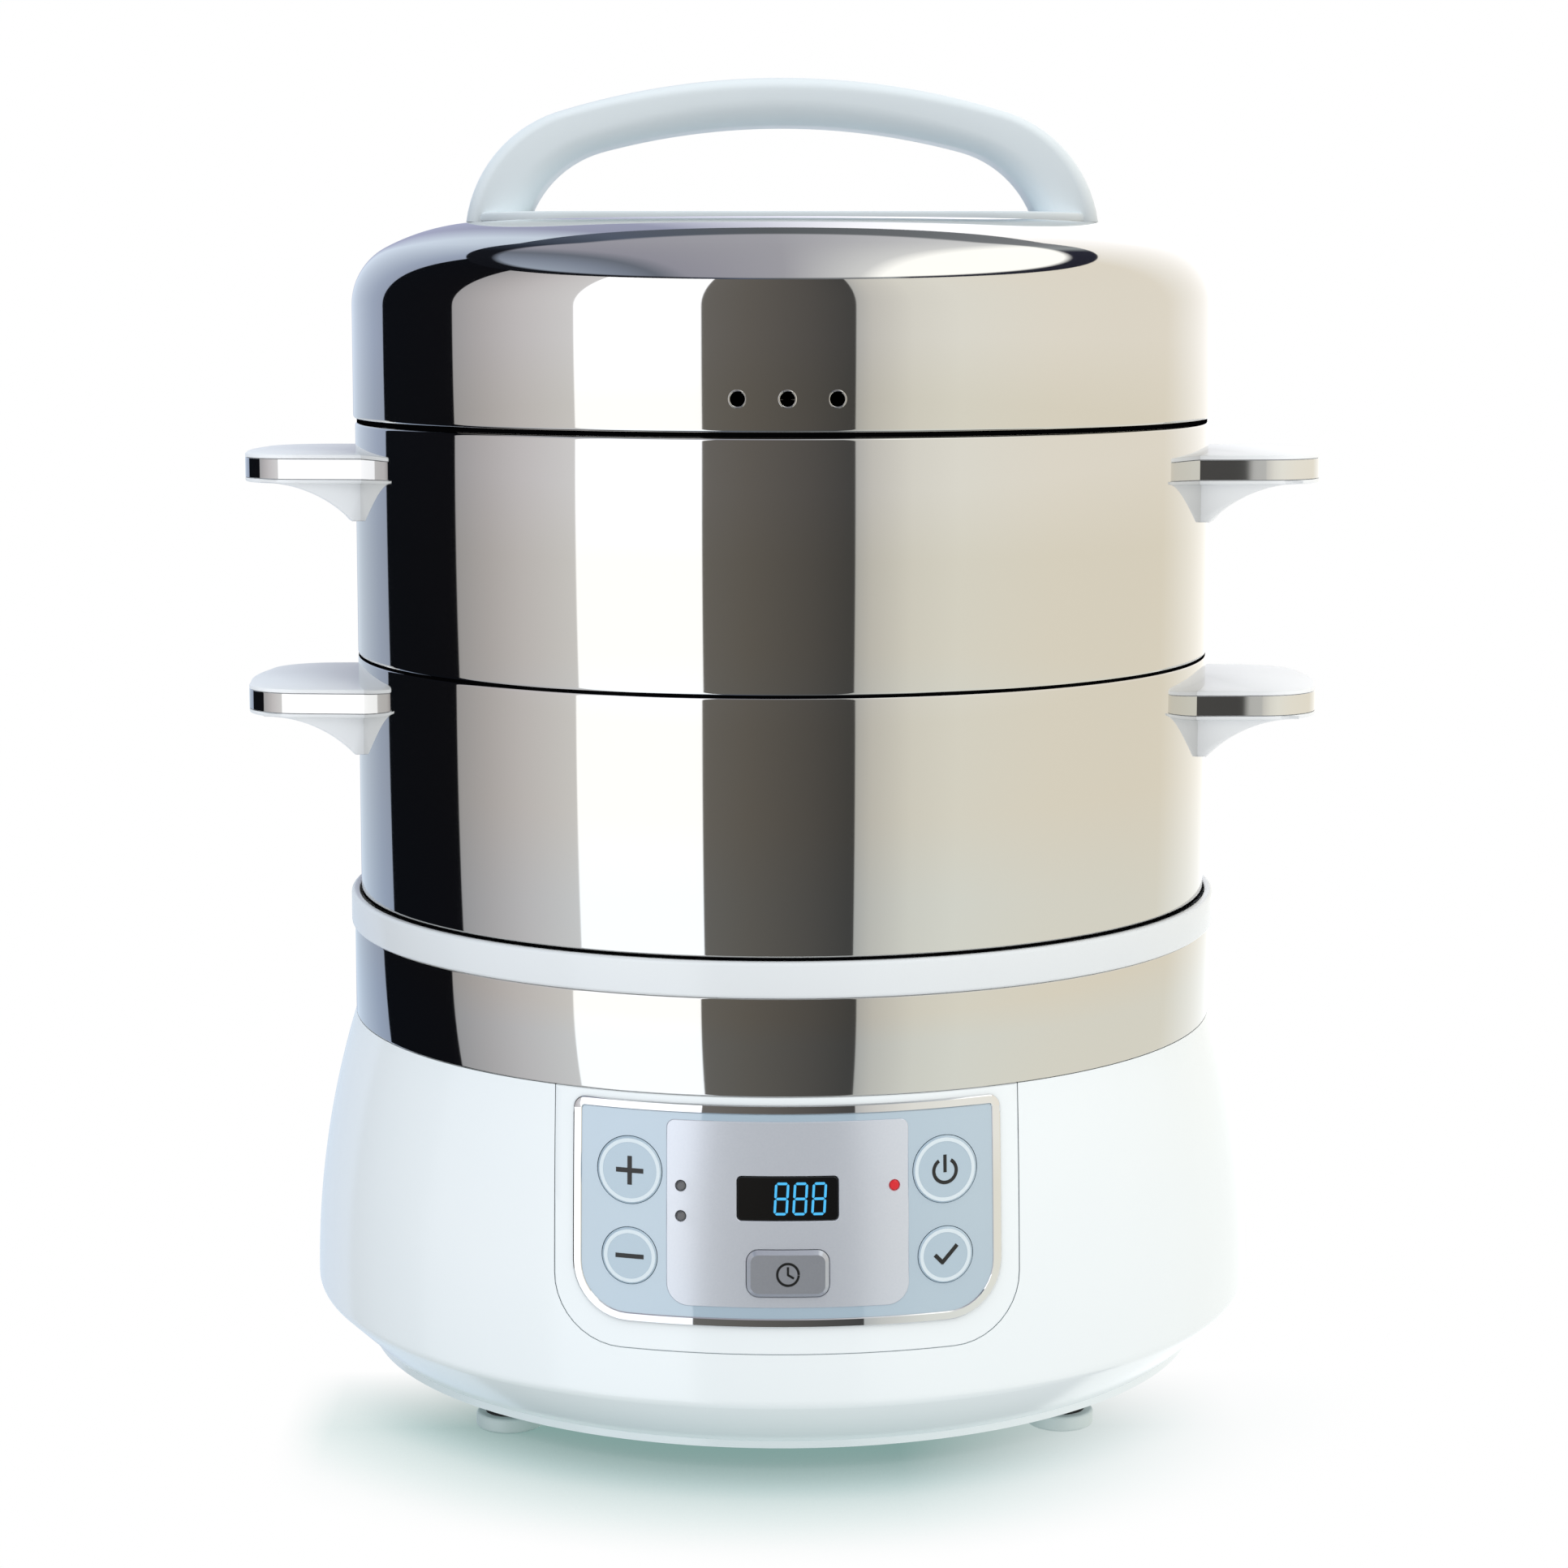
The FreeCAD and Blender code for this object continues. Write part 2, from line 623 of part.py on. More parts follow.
def skin(inner, outer):
    """The flared wall between two offsets."""
    near = flare_arc(inner)
    far = flare_arc(outer)
    foot = Part.LineSegment(near.StartPoint, far.StartPoint)
    head = Part.LineSegment(far.EndPoint, near.EndPoint)
    return revolved([foot, far, head, near])


def core(outer):
    """All that lies inside the flared wall moved out by an offset."""
    far = flare_arc(outer)
    low = vector(z=far.StartPoint.z)
    high = vector(z=far.EndPoint.z)
    foot = Part.LineSegment(low, far.StartPoint)
    head = Part.LineSegment(far.EndPoint, high)
    return revolved([foot, far, head, Part.LineSegment(high, low)])


def prism(face, near, far):
    """A face of the XZ plane run from one distance in front of the axis to another."""
    return face.translated(vector(y=-near)).extrude(vector(y=near - far))


def panel_face(half_width, low, high, low_corner, high_corner):
    """A rounded panel outline: one radius for its low corners and one for its high ones."""
    def arc(x, z, radius, angle):
        bends = [math.radians(angle + turn) for turn in (0, 45, 90)]
        points = [vector(x + radius * math.cos(bend), 0, z + radius * math.sin(bend)) for bend in bends]
        return Part.Arc(*points)

    bends = [
        arc(half_width - high_corner, high - high_corner, high_corner, 0),
        arc(high_corner - half_width, high - high_corner, high_corner, 90),
        arc(low_corner - half_width, low + low_corner, low_corner, 180),
        arc(half_width - low_corner, low + low_corner, low_corner, 270),
    ]
    edges = []
    for index, bend in enumerate(bends):
        edges.append(bend.toShape())
        start = bend.EndPoint
        end = bends[(index + 1) % len(bends)].StartPoint
        edges.append(Part.LineSegment(start, end).toShape())
    return Part.Face(Part.Wire(edges))


def shifted(face, x, z):
    return face.translated(vector(x, 0, z))


def disc(radius, x, z):
    """A round face of the XZ plane."""
    return Part.Face(Part.Wire(Part.Circle(vector(x, 0, z), vector(y=-1), radius).toShape()))


def centred_face(half_width, height, corner):
    return panel_face(half_width, -height / 2, height / 2, corner, corner)


BUTTONS = {
    "plus_button": (-1, BUTTON_HIGH, "large_button_radius"),
    "minus_button": (-1, BUTTON_LOW, "small_button_radius"),
    "power_button": (1, BUTTON_HIGH, "large_button_radius"),
    "set_button": (1, BUTTON_LOW, "small_button_radius"),
}


def button_face(name, grow=0.0):
    """The outline of a button seen from the front, grown by a clearance or a lip."""
    if name == "delay_button":
        height = size("delay_height") + 2 * grow
        face = centred_face(size("delay_half_width") + grow, height, size("delay_corner") + grow)
        return shifted(face, 0, size(DELAY_CENTRE))
    side, height, radius = BUTTONS[name]
    return disc(size(radius) + grow, side * size("button_offset"), size(height))


BUTTON_NAMES = list(BUTTONS) + ["delay_button"]
LED_PLACES = [(-1, LED_HIGH), (-1, LED_LOW), (1, LED_HIGH)]
board_front = size(BOARD_PLANE)
fit = size("fit_clearance")
running = size("running_clearance")
housing_top = size(HOUSING_TOP)
inside_core = core(-size("housing_wall") / 2)


def through(face):
    """A prism right through the panel, from the control board to in front of the base."""
    return prism(face, board_front, FRONT)


def patch(face, inner, outer):
    """The piece of the flared wall between two offsets that lies behind a face of the panel."""
    return skin(inner, outer).common(prism(face, size(BELLY_RADIUS) / 2, FRONT))


def led_tools(grow):
    places = [(side * size("led_offset"), size(height)) for side, height in LED_PLACES]
    return [through(disc(size("led_radius") + grow, x, z)) for x, z in places]


def insert_face(grow):
    corner = size("insert_corner")
    face_top = housing_top + corner
    half = size("insert_half_width") + grow
    return panel_face(half, size(INSERT_BOTTOM) - grow, face_top, corner, corner)


def trim_face(inset):
    top = housing_top - size("trim_top_gap") - inset
    low_corner = size("trim_corner") - inset
    high_corner = size("trim_top_corner") - inset
    half = size("trim_half_width") - inset
    return panel_face(half, size(TRIM_BOTTOM) + inset, top, low_corner, high_corner)


def plate_face(grow):
    corner = size("plate_corner") + grow
    low = size(PLATE_BOTTOM) - grow
    high = size(PLATE_TOP) + grow
    return panel_face(size("plate_half_width") + grow, low, high, corner, corner)


def display_face(grow):
    corner = size("display_corner") + grow
    face = centred_face(size("display_half_width") + grow, size("display_height") + 2 * grow, corner)
    return shifted(face, 0, size(DISPLAY_CENTRE))


panel_notch = patch(insert_face(0), -size("housing_wall") - fit, size("housing_wall"))
solid_node("base_housing", housing_shell.Shape.cut(panel_notch))

button_holes = [through(button_face(name, running)) for name in BUTTON_NAMES]
display_hole = through(display_face(0))
insert_wall = patch(insert_face(-fit), -size("housing_wall"), 0)
insert_wall = insert_wall.cut(button_holes + led_tools(fit) + [display_hole])
control_screws = [(side * size("control_screw_offset"), size(height))
                  for side in (-1, 1) for height in (CONTROL_SCREW_LOW, CONTROL_SCREW_HIGH)]
boss_discs = [disc(size("control_boss_radius"), x, z) for x, z in control_screws]
control_bosses = [through(face).common(inside_core) for face in boss_discs]
screw_depth = board_front + size("control_boss_radius") * 2
boss_bores = [prism(disc(size("screw_radius + thread_clearance"), x, z), board_front, screw_depth)
              for x, z in control_screws]
solid_node("panel_insert", insert_wall.fuse(control_bosses).cut(boss_bores))

glue = size("adhesive")
trim_inner = trim_face(size("trim_width"))
trim_band = patch(trim_face(0), glue, size("trim_proud"))
solid_node("panel_trim", trim_band.cut(patch(trim_inner, 0, size("belly_round"))))
overlay_sheet = patch(trim_inner, glue, size("overlay_thickness"))
solid_node("panel_overlay", overlay_sheet.cut([through(plate_face(0))] + button_holes))
plate_sheet = patch(plate_face(0), glue, size("plate_proud"))
solid_node("centre_plate", plate_sheet.cut(button_holes + led_tools(fit) + [display_hole]))
solid_node("display_window", patch(display_face(-fit), -size("lens_thickness"), size("plate_proud")))
led_limit = core(size("plate_proud"))
solid_node("indicator_leds", Part.makeCompound([tool.common(led_limit) for tool in led_tools(0)]))


def push_button(name):
    """A cap through the panel, a lip behind the insert that keeps it in, and a stem to its switch."""
    proud = size("delay_proud" if name == "delay_button" else "button_proud")
    outline = button_face(name).BoundBox
    lip = size("button_lip")
    widest = max(abs(outline.XMin), abs(outline.XMax)) + lip
    wall_radius = size(flare_radius("-housing_wall", str(outline.ZMax + lip)))
    lip_front = math.sqrt(wall_radius**2 - widest**2) - running
    lip_back = lip_front - lip
    switch_front = board_front + size("switch_height")
    stem_back = switch_front + size("button_travel") + fit / 2
    cap = prism(button_face(name), lip_front, FRONT).common(core(proud))
    flange = prism(button_face(name, lip), lip_back, lip_front)
    x = outline.Center.x
    z = outline.Center.z
    stem = prism(disc(size("button_stem_radius"), x, z), stem_back, lip_front)
    return cap.fuse([flange, stem])


for button in BUTTON_NAMES:
    solid_node(button, push_button(button))

board_width = size("control_board_width")
board_face = centred_face(board_width / 2, size("control_board_height"), size("control_boss_radius"))
board_face = shifted(board_face, 0, size(f"{BOARD_BOTTOM} + control_board_height / 2"))
board_back = board_front - size("board_thickness")
board_bore = size("screw_radius + hole_clearance")
board_bores = [prism(disc(board_bore, x, z), board_back, board_front) for x, z in control_screws]
solid_node("control_board", prism(board_face, board_back, board_front).cut(board_bores))
board_screws = []
for x, z in control_screws:
    head = prism(disc(size("screw_head_radius"), x, z), board_back - size("screw_head_height"), board_back)
    shaft = prism(disc(size("screw_radius"), x, z), board_back, screw_depth - 1)
    board_screws.append(head.fuse(shaft).removeSplitter())
solid_node("control_board_screws", Part.makeCompound(board_screws))
switches = []
for button in BUTTON_NAMES:
    middle = button_face(button).BoundBox.Center
    side = size("switch_side")
    face = shifted(centred_face(side / 2, side, fit), middle.x, middle.z)
    switches.append(prism(face, board_front, board_front + size("switch_height")))
solid_node("tact_switches", Part.makeCompound(switches))
module_face = centred_face(size("module_width") / 2, size("module_height"), size("display_corner"))
module_face = shifted(module_face, 0, size(DISPLAY_CENTRE))
solid_node("display_module", prism(module_face, board_front, board_front + size("module_depth")))

# Cord gland in the back wall
gland_outer = size(GLAND_SEAT) + size("gland_flange")
gland_inner = size(GLAND_SEAT) - size("housing_wall") * 2
gland_start = vector(0, gland_inner, size("gland_height"))


def gland_rod(radius):
    return Part.makeCylinder(size(radius), gland_outer - gland_inner, gland_start, vector(y=1))


gland_flange = gland_rod("gland_flange_radius").cut(core(fit / 2))
solid_node("cord_gland", gland_rod("gland_radius").fuse(gland_flange).cut(gland_rod("gland_bore")))

# Drip tray: its rim is the pale ring under the baskets
GUTTER_FLOOR = f"({BAND_TOP} - gutter_depth)"
WEB_TOP = f"({BAND_TOP} + tray_wall)"
node(turned("drip_tray", [
    ("steam_opening_radius", GUTTER_FLOOR),
    (GUTTER_RADIUS, GUTTER_FLOOR),
    (GUTTER_RADIUS, BAND_TOP),
    (TRAY_RADIUS, BAND_TOP),
    (TRAY_RADIUS, TRAY_TOP),
    (f"{TRAY_RADIUS} - tray_wall", TRAY_TOP),
    (f"{TRAY_RADIUS} - tray_wall", WEB_TOP),
    (f"{GUTTER_RADIUS} - tray_wall", WEB_TOP),
    (f"{GUTTER_RADIUS} - tray_wall", f"{GUTTER_FLOOR} + tray_wall"),
    ("steam_opening_radius + tray_wall", f"{GUTTER_FLOOR} + tray_wall"),
    ("steam_opening_radius + tray_wall", BAND_TOP),
    ("steam_opening_radius", BAND_TOP),
]), "drip_tray")


def perforated_floor(label, level):
    """A round plate with rings of steam holes, one holed face made thick."""
    radius = size(f"{FOOT_RING} - basket_wall - fit_clearance")
    pitch = size("floor_hole_pitch")
    hole = size("floor_hole_radius")
    places = [vector(z=level)]
    for ring in range(1, int(size("floor_hole_rings")) + 1):
        count = 6 * ring
        for index in range(count):
            angle = 2 * math.pi * index / count
            places.append(vector(ring * pitch * math.cos(angle), ring * pitch * math.sin(angle), level))
    outer = Part.Wire(Part.Circle(vector(z=level), vector(z=1), radius).toShape())
    holes = [Part.Wire(Part.Circle(place, vector(z=1), hole).toShape()) for place in places]
    plate = Part.Face(outer).cut(Part.makeCompound([Part.Face(wire) for wire in holes]))
    solid_node(label, plate.Faces[0].extrude(vector(z=size("floor_thickness"))))


def handle_face(inset, level):
    """A side handle seen from above, pointing along +X, its edge moved in by an inset."""
    half = size("handle_half_width") - inset
    tip = size(HANDLE_TIP) - inset
    corner = size("handle_corner") - inset
    end = tip - size("handle_bulge")
    root = size("basket_radius") / 2
    slant = math.sqrt(0.5) * corner
    near = [(root, -half), (end - corner, -half), (end, corner - half)]
    far = [(x, -y) for x, y in reversed(near)]
    points = [vector(x, y, level) for x, y in near + far]
    bends = [vector(end - corner + slant, side * (half - corner + slant), level) for side in (-1, 1)]
    edges = [
        Part.LineSegment(points[0], points[1]),
        Part.Arc(points[1], bends[0], points[2]),
        Part.Arc(points[2], vector(tip, 0, level), points[3]),
        Part.Arc(points[3], bends[1], points[4]),
        Part.LineSegment(points[4], points[5]),
        Part.LineSegment(points[5], points[0]),
    ]
    return Part.Face(Part.Wire([edge.toShape() for edge in edges]))


def gusset(level):
    """The web under a side handle, hollowed along its underside."""
    half = size("gusset_half_width")
    root = size("basket_radius") / 2
    reach = vector(size(f"{HANDLE_TIP} - gusset_setback"), -half, level)
    foot = vector(size("basket_radius + gusset_toe"), -half, level - size("gusset_depth"))
    chord = foot - reach
    curve = size("gusset_curve")
    rise = curve - math.sqrt(curve**2 - (chord.Length / 2) ** 2)
    outward = vector(chord.z, 0, -chord.x).normalize()
    middle = (reach + foot) * 0.5 - outward * rise
    edges = [
        Part.LineSegment(vector(root, -half, level), reach),
        Part.Arc(reach, middle, foot),
        Part.LineSegment(foot, vector(root, -half, foot.z)),
        Part.LineSegment(vector(root, -half, foot.z), vector(root, -half, level)),
    ]
    face = Part.Face(Part.Wire([edge.toShape() for edge in edges]))
    return face.extrude(vector(y=2 * half))


def basket(tier, seat):
    """One steaming basket: wall, floor, two side handles, their bright trims and their screws."""
    rim = f"({seat} + basket_height)"
    foot = f"({seat} - foot_ring_depth)"
    wall = turned(f"{tier}_basket_turn", [
        (FLOOR_LEDGE, foot),
        (FOOT_RING, foot),
        (FOOT_RING, seat),
        ("basket_radius", seat),
        ("basket_radius", rim),
        ("basket_radius - rim_width", rim),
        ("basket_radius - rim_width", f"{rim} - rim_height"),
        ("basket_radius - basket_wall", f"{rim} - rim_height"),
        ("basket_radius - basket_wall", f"{seat} + basket_wall"),
        (f"{FOOT_RING} - basket_wall", f"{seat} + basket_wall"),
        (f"{FOOT_RING} - basket_wall", f"{foot} + basket_wall"),
        (FLOOR_LEDGE, f"{foot} + basket_wall"),
    ])
    perforated_floor(f"{tier}_basket_floor", size(f"{foot} + basket_wall"))
    screw_level = f"({rim} - handle_screw_drop)"
    radius = size("basket_radius")
    wall_bore = size("basket_radius - basket_wall")
    half = size("handle_screw_spacing") / 2
    level = size(screw_level)
    screw_end = radius + size("handle_screw_depth")
    places = [vector(0, side * half, level) for side in (-1, 1)]
    out = vector(x=1)
    tapped = size("stout_screw_radius + thread_clearance")
    bores = [Part.makeCylinder(tapped, screw_end, place, out) for place in places]
    shafts = [Part.makeCylinder(size("stout_screw_radius"), screw_end - 1, place, out) for place in places]
    heads = [Part.makeCylinder(size("stout_head_radius"), radius, place, out) for place in places]
    low = vector(z=size(foot))
    tall = size("basket_height + foot_ring_depth")
    bore = Part.makeCylinder(wall_bore, tall, low)
    head_limit = bore.cut(Part.makeCylinder(wall_bore - size("stout_head_height"), tall, low))
    inside = Part.makeCylinder(wall_bore - size("stout_head_height") / 2, tall, low)
    handle_screws = [shaft.cut(inside).fuse(head.common(head_limit)) for shaft, head in zip(shafts, heads)]
    barrel = Part.makeCylinder(radius, tall, low)
    top = size(f"{rim} - handle_drop")
    trim_top = top - size("handle_lip")
    trim_bottom = trim_top - size("handle_trim_height")
    bottom = trim_bottom - size("handle_lip")
    trim_run = vector(z=trim_top - trim_bottom)
    trim = handle_face(0, trim_bottom).extrude(trim_run)
    trim = trim.cut(handle_face(size("handle_trim_wall"), trim_bottom).extrude(trim_run))
    plate = handle_face(0, bottom).extrude(vector(z=top - bottom)).cut(trim)
    grip = plate.fuse(gusset(bottom)).cut([barrel] + bores)
    trim = trim.cut(barrel)
    turn = FreeCAD.Placement(vector(), FreeCAD.Rotation(vector(z=1), 180))
    both_screws = []
    for side in ("right", "left"):
        pieces = [grip.copy(), trim.copy()] + [piece.copy() for piece in handle_screws]
        if side == "left":
            pieces = [piece.transformShape(turn.Matrix) or piece for piece in pieces]
        solid_node(f"{tier}_{side}_handle", pieces[0])
        solid_node(f"{tier}_{side}_handle_trim", pieces[1])
        both_screws += pieces[2:]
    solid_node(f"{tier}_handle_screws", Part.makeCompound([piece.removeSplitter() for piece in both_screws]))
    drills = []
    for index, (way, side) in enumerate((way, side) for way in ("x", "-x") for side in (-1, 1)):
        drill = rod(f"{tier}_drill_{index}", "stout_screw_radius + hole_clearance", "basket_radius",
                    ("0", f"{side} * handle_screw_spacing / 2", screw_level), way)
        drills.append(drill)
    node(holed(f"{tier}_basket_wall", wall, drills), f"{tier}_basket_wall")


basket("lower", TRAY_TOP)
basket("upper", LOWER_RIM)

# Lid: one drawn shell with a neck that drops into the upper basket
SHOULDER_ACROSS = "cos(lid_shoulder_angle)"
SHOULDER_UP = "sin(lid_shoulder_angle)"
SHOULDER_CENTRE = f"({LID_RADIUS} - lid_shoulder_radius)"
SHOULDER_INNER = "(lid_shoulder_radius - lid_wall)"
NECK_BOTTOM = f"{UPPER_RIM} - lid_neck_depth"
lid_turn = turned("lid_turn", [
    (f"{LID_NECK} - lid_wall", NECK_BOTTOM),
    (LID_NECK, NECK_BOTTOM),
    (LID_NECK, UPPER_RIM),
    (LID_REST, UPPER_RIM),
    (LID_REST, LID_EDGE),
    (LID_RADIUS, LID_EDGE),
    (LID_RADIUS, LID_SIDE_TOP, "lid_shoulder_radius", 1),
    (f"{SHOULDER_CENTRE} + lid_shoulder_radius * {SHOULDER_ACROSS}",
     f"{LID_SIDE_TOP} + lid_shoulder_radius * {SHOULDER_UP}", "lid_crown_radius", 1),
    (LID_FLAT, LID_TOP),
    ("0", LID_TOP),
    ("0", f"{LID_TOP} - lid_wall"),
    (LID_FLAT, f"{LID_TOP} - lid_wall", "lid_crown_radius - lid_wall", -1),
    (f"{SHOULDER_CENTRE} + {SHOULDER_INNER} * {SHOULDER_ACROSS}",
     f"{LID_SIDE_TOP} + {SHOULDER_INNER} * {SHOULDER_UP}", SHOULDER_INNER, -1),
    (f"{LID_RADIUS} - lid_wall", LID_SIDE_TOP),
    (f"{LID_RADIUS} - lid_wall", f"{LID_EDGE} + lid_wall"),
    (f"{LID_NECK} - lid_wall", f"{LID_EDGE} + lid_wall"),
])
lid_tools = []
for index in range(3):
    place = (f"{index - 1} * vent_spacing", f"-{LID_RADIUS} - 1", f"{LID_EDGE} + vent_height")
    lid_tools.append(rod(f"vent_{index}", "vent_radius", f"{LID_RADIUS} / 4", place, "y"))
lid_screws = []
washers = []
WASHER_BOTTOM = f"({LID_TOP} - lid_wall - washer_thickness)"
for index, side in enumerate((-1, 1)):
    x = f"{side} * {LID_SCREW_OFFSET}"
    clear = "stout_screw_radius + hole_clearance"
    lid_tools.append(rod(f"lid_hole_{index}", clear, "lid_wall * 4", (x, "0", f"{LID_TOP} - 2 * lid_wall")))
    length = "washer_thickness + lid_wall + lid_screw_depth - 1"
    lid_screws.append(screw(f"lid_screw_{index}", (x, "0", WASHER_BOTTOM), "stout_screw_radius", length,
                            "stout_head_radius", "stout_head_height", "z", "-z"))
    ring = rod(f"washer_ring_{index}", "washer_radius", "washer_thickness", (x, "0", WASHER_BOTTOM))
    eye = rod(f"washer_eye_{index}", clear, "washer_thickness", (x, "0", WASHER_BOTTOM))
    washers.append(holed(f"washer_{index}", ring, [eye]))
node(holed("lid_shell", lid_turn, lid_tools), "lid_shell")
node(grouped("lid_handle_screws", lid_screws), "lid_handle_screws")
node(grouped("lid_handle_washers", washers), "lid_handle_washers")


def arch_face(offset, drop, radius, height, low):
    """The region under a three-centred arch: two corner arcs and a flatter one tangent to both."""
    base = size(LID_TOP)
    centre_z = -drop
    above = height - centre_z
    crown = (offset**2 + above**2 - radius**2) / (2 * (above - radius))
    crown_z = height - crown
    reach = math.hypot(offset, centre_z - crown_z)
    touch = vector(offset * crown / reach, 0, crown_z + (centre_z - crown_z) * crown / reach)
    foot_x = offset + math.sqrt(radius**2 - (low - centre_z) ** 2)
    middle = math.radians(45)
    shoulder = vector(offset + radius * math.cos(middle), 0, centre_z + radius * math.sin(middle))
    flip = [vector(-point.x, 0, point.z) for point in (touch, shoulder)]
    edges = [
        Part.Arc(vector(foot_x, 0, low), shoulder, touch),
        Part.Arc(touch, vector(0, 0, height), flip[0]),
        Part.Arc(flip[0], flip[1], vector(-foot_x, 0, low)),
        Part.LineSegment(vector(-foot_x, 0, low), vector(foot_x, 0, low)),
    ]
    return Part.Face(Part.Wire([edge.toShape() for edge in edges])).translated(vector(z=base))


def arch_edge(edge, half):
    """Whether an edge runs along the arch on one of its two faces."""
    box = edge.BoundBox
    flat = box.YLength < 1e-6 and abs(abs(box.YMin) - half) < 1e-6
    return flat and isinstance(edge.Curve, Part.Circle)


half_depth = size("arch_depth") / 2
plate_thickness = size("handle_plate_thickness")
corner_offset = size(f"{LID_FLAT} - arch_corner_inset")
opening_offset = size(f"{LID_FLAT} - arch_opening_inset")
outer_face = arch_face(corner_offset, size("arch_corner_drop"), size("arch_corner_radius"),
                       size("arch_height"), 0.0)
inner_face = arch_face(opening_offset, size("arch_opening_drop"), size("arch_opening_radius"),
                       size("arch_opening_height"), 0.0)
arch_side = outer_face.cut(inner_face).Faces[0].translated(vector(y=-half_depth))
arch = arch_side.extrude(vector(y=2 * half_depth))
arch = arch.makeFillet(size("arch_round"), [edge for edge in arch.Edges if arch_edge(edge, half_depth)])
plate_end = size("handle_plate_width") / 2
plate_half = size(f"{LID_FLAT} + handle_plate_overhang")
plate_outline = panel_face(plate_half, -plate_end, plate_end, plate_end - fit, plate_end - fit)
plate_outline.rotate(vector(), vector(x=1), 90)
foot_plate = plate_outline.translated(vector(z=size(LID_TOP))).extrude(vector(z=plate_thickness))
lid_bore = size("stout_screw_radius + thread_clearance")
lid_bore_places = [vector(side * size(LID_SCREW_OFFSET), 0, size(LID_TOP)) for side in (-1, 1)]
lid_bores = [Part.makeCylinder(lid_bore, size("lid_screw_depth"), place) for place in lid_bore_places]
solid_node("lid_handle", arch.fuse(foot_plate).cut(lid_bores))

doc.recompute()
for item in doc.Objects:
    if "Invalid" in item.State or "Error" in item.State:
        raise RuntimeError(f"{item.Name} failed: {item.State}")
for piece in nodes:
    if piece.Shape.isNull() or not piece.Shape.isValid() or not piece.Shape.Solids:
        raise RuntimeError(f"{piece.Label} has no valid solid")
os.makedirs("parts", exist_ok=True)
for piece in nodes:
    piece.Shape.exportStep(f"parts/{piece.Label}.step")
    print(f"{piece.Label}: {len(piece.Shape.Solids)} solids, {piece.Shape.Volume:.0f} mm3")
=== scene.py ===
# %% [markdown]
# # A two-tier electric food steamer
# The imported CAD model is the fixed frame: it says where every piece sits and what moves. This lesson
# dresses that frame. Mirror-polished steel shows every facet, so the big turned pieces are turned again
# here as fine smooth meshes, and the control panel is drawn on the flared wall.

# %% Load the frame
import json
import math

import bmesh
import bpy
import numpy as np
from mathutils import Matrix, Vector
from mathutils.geometry import delaunay_2d_cdt


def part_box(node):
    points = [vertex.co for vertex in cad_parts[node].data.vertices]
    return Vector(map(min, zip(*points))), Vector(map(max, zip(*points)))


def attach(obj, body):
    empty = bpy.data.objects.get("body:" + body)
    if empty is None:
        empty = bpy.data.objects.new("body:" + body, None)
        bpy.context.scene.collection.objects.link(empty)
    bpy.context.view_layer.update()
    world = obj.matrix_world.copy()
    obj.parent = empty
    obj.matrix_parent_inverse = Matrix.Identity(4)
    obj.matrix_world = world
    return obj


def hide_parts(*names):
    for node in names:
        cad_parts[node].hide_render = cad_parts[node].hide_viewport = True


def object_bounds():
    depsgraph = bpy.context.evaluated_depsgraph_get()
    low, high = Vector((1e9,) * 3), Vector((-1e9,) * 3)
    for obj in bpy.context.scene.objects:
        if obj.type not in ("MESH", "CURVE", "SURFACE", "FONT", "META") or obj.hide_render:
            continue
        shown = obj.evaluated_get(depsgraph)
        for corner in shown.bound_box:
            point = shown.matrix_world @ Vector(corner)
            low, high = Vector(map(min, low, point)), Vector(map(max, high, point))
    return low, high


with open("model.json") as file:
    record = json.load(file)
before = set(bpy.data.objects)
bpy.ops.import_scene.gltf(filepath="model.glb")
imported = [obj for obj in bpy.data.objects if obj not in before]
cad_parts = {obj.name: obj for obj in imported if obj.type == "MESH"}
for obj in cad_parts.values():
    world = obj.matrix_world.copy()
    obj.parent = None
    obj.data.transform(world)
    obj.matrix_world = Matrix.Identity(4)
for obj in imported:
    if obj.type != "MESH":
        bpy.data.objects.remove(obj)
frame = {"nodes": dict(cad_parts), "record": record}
cad_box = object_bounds()
nodes = frame["nodes"]
MM = 0.001
print("nodes", len(nodes), "CAD box", [list(corner) for corner in cad_box])

# %% [markdown]
# ## Levels and radii
# The heights come from the frame's own boxes, so a change in the CAD model carries over. The lid hangs a
# little over the upper rim, so its seam shows just below the rim's own level. The radii are those of the
# drawn and moulded pieces, in metres. The flared wall of the base is one arc: its rise and its run fix
# its radius.

# %% Levels and radii
FLOOR_LEVEL = cad_box[0].z
COVER_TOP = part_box("base_housing")[0].z
HOUSING_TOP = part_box("base_housing")[1].z
BAND_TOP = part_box("steel_band")[1].z
TRAY_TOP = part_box("drip_tray")[1].z
LOWER_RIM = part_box("lower_basket_wall")[1].z
LID_LAP = 2.0 * MM
UPPER_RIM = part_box("upper_basket_wall")[1].z - LID_LAP
LID_GAP = 1.2 * MM
LID_EDGE = UPPER_RIM + LID_GAP
LID_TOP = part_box("lid_shell")[1].z
BASKET_RADIUS = 120.0 * MM
BAND_RADIUS = 121.9 * MM
LID_RADIUS = 120.5 * MM
BELLY_RADIUS = 133.4 * MM
BELLY_HEIGHT = 26.0 * MM
HOUSING_WALL = 2.5 * MM
BELLY_RISE = HOUSING_TOP - BELLY_HEIGHT
BELLY_RUN = BELLY_RADIUS - BAND_RADIUS
FLARE = (BELLY_RISE**2 + BELLY_RUN**2) / (2 * BELLY_RUN)
levels = (COVER_TOP, HOUSING_TOP, BAND_TOP, TRAY_TOP, LOWER_RIM, LID_TOP)
print("levels in mm", [round(level / MM, 1) for level in levels])

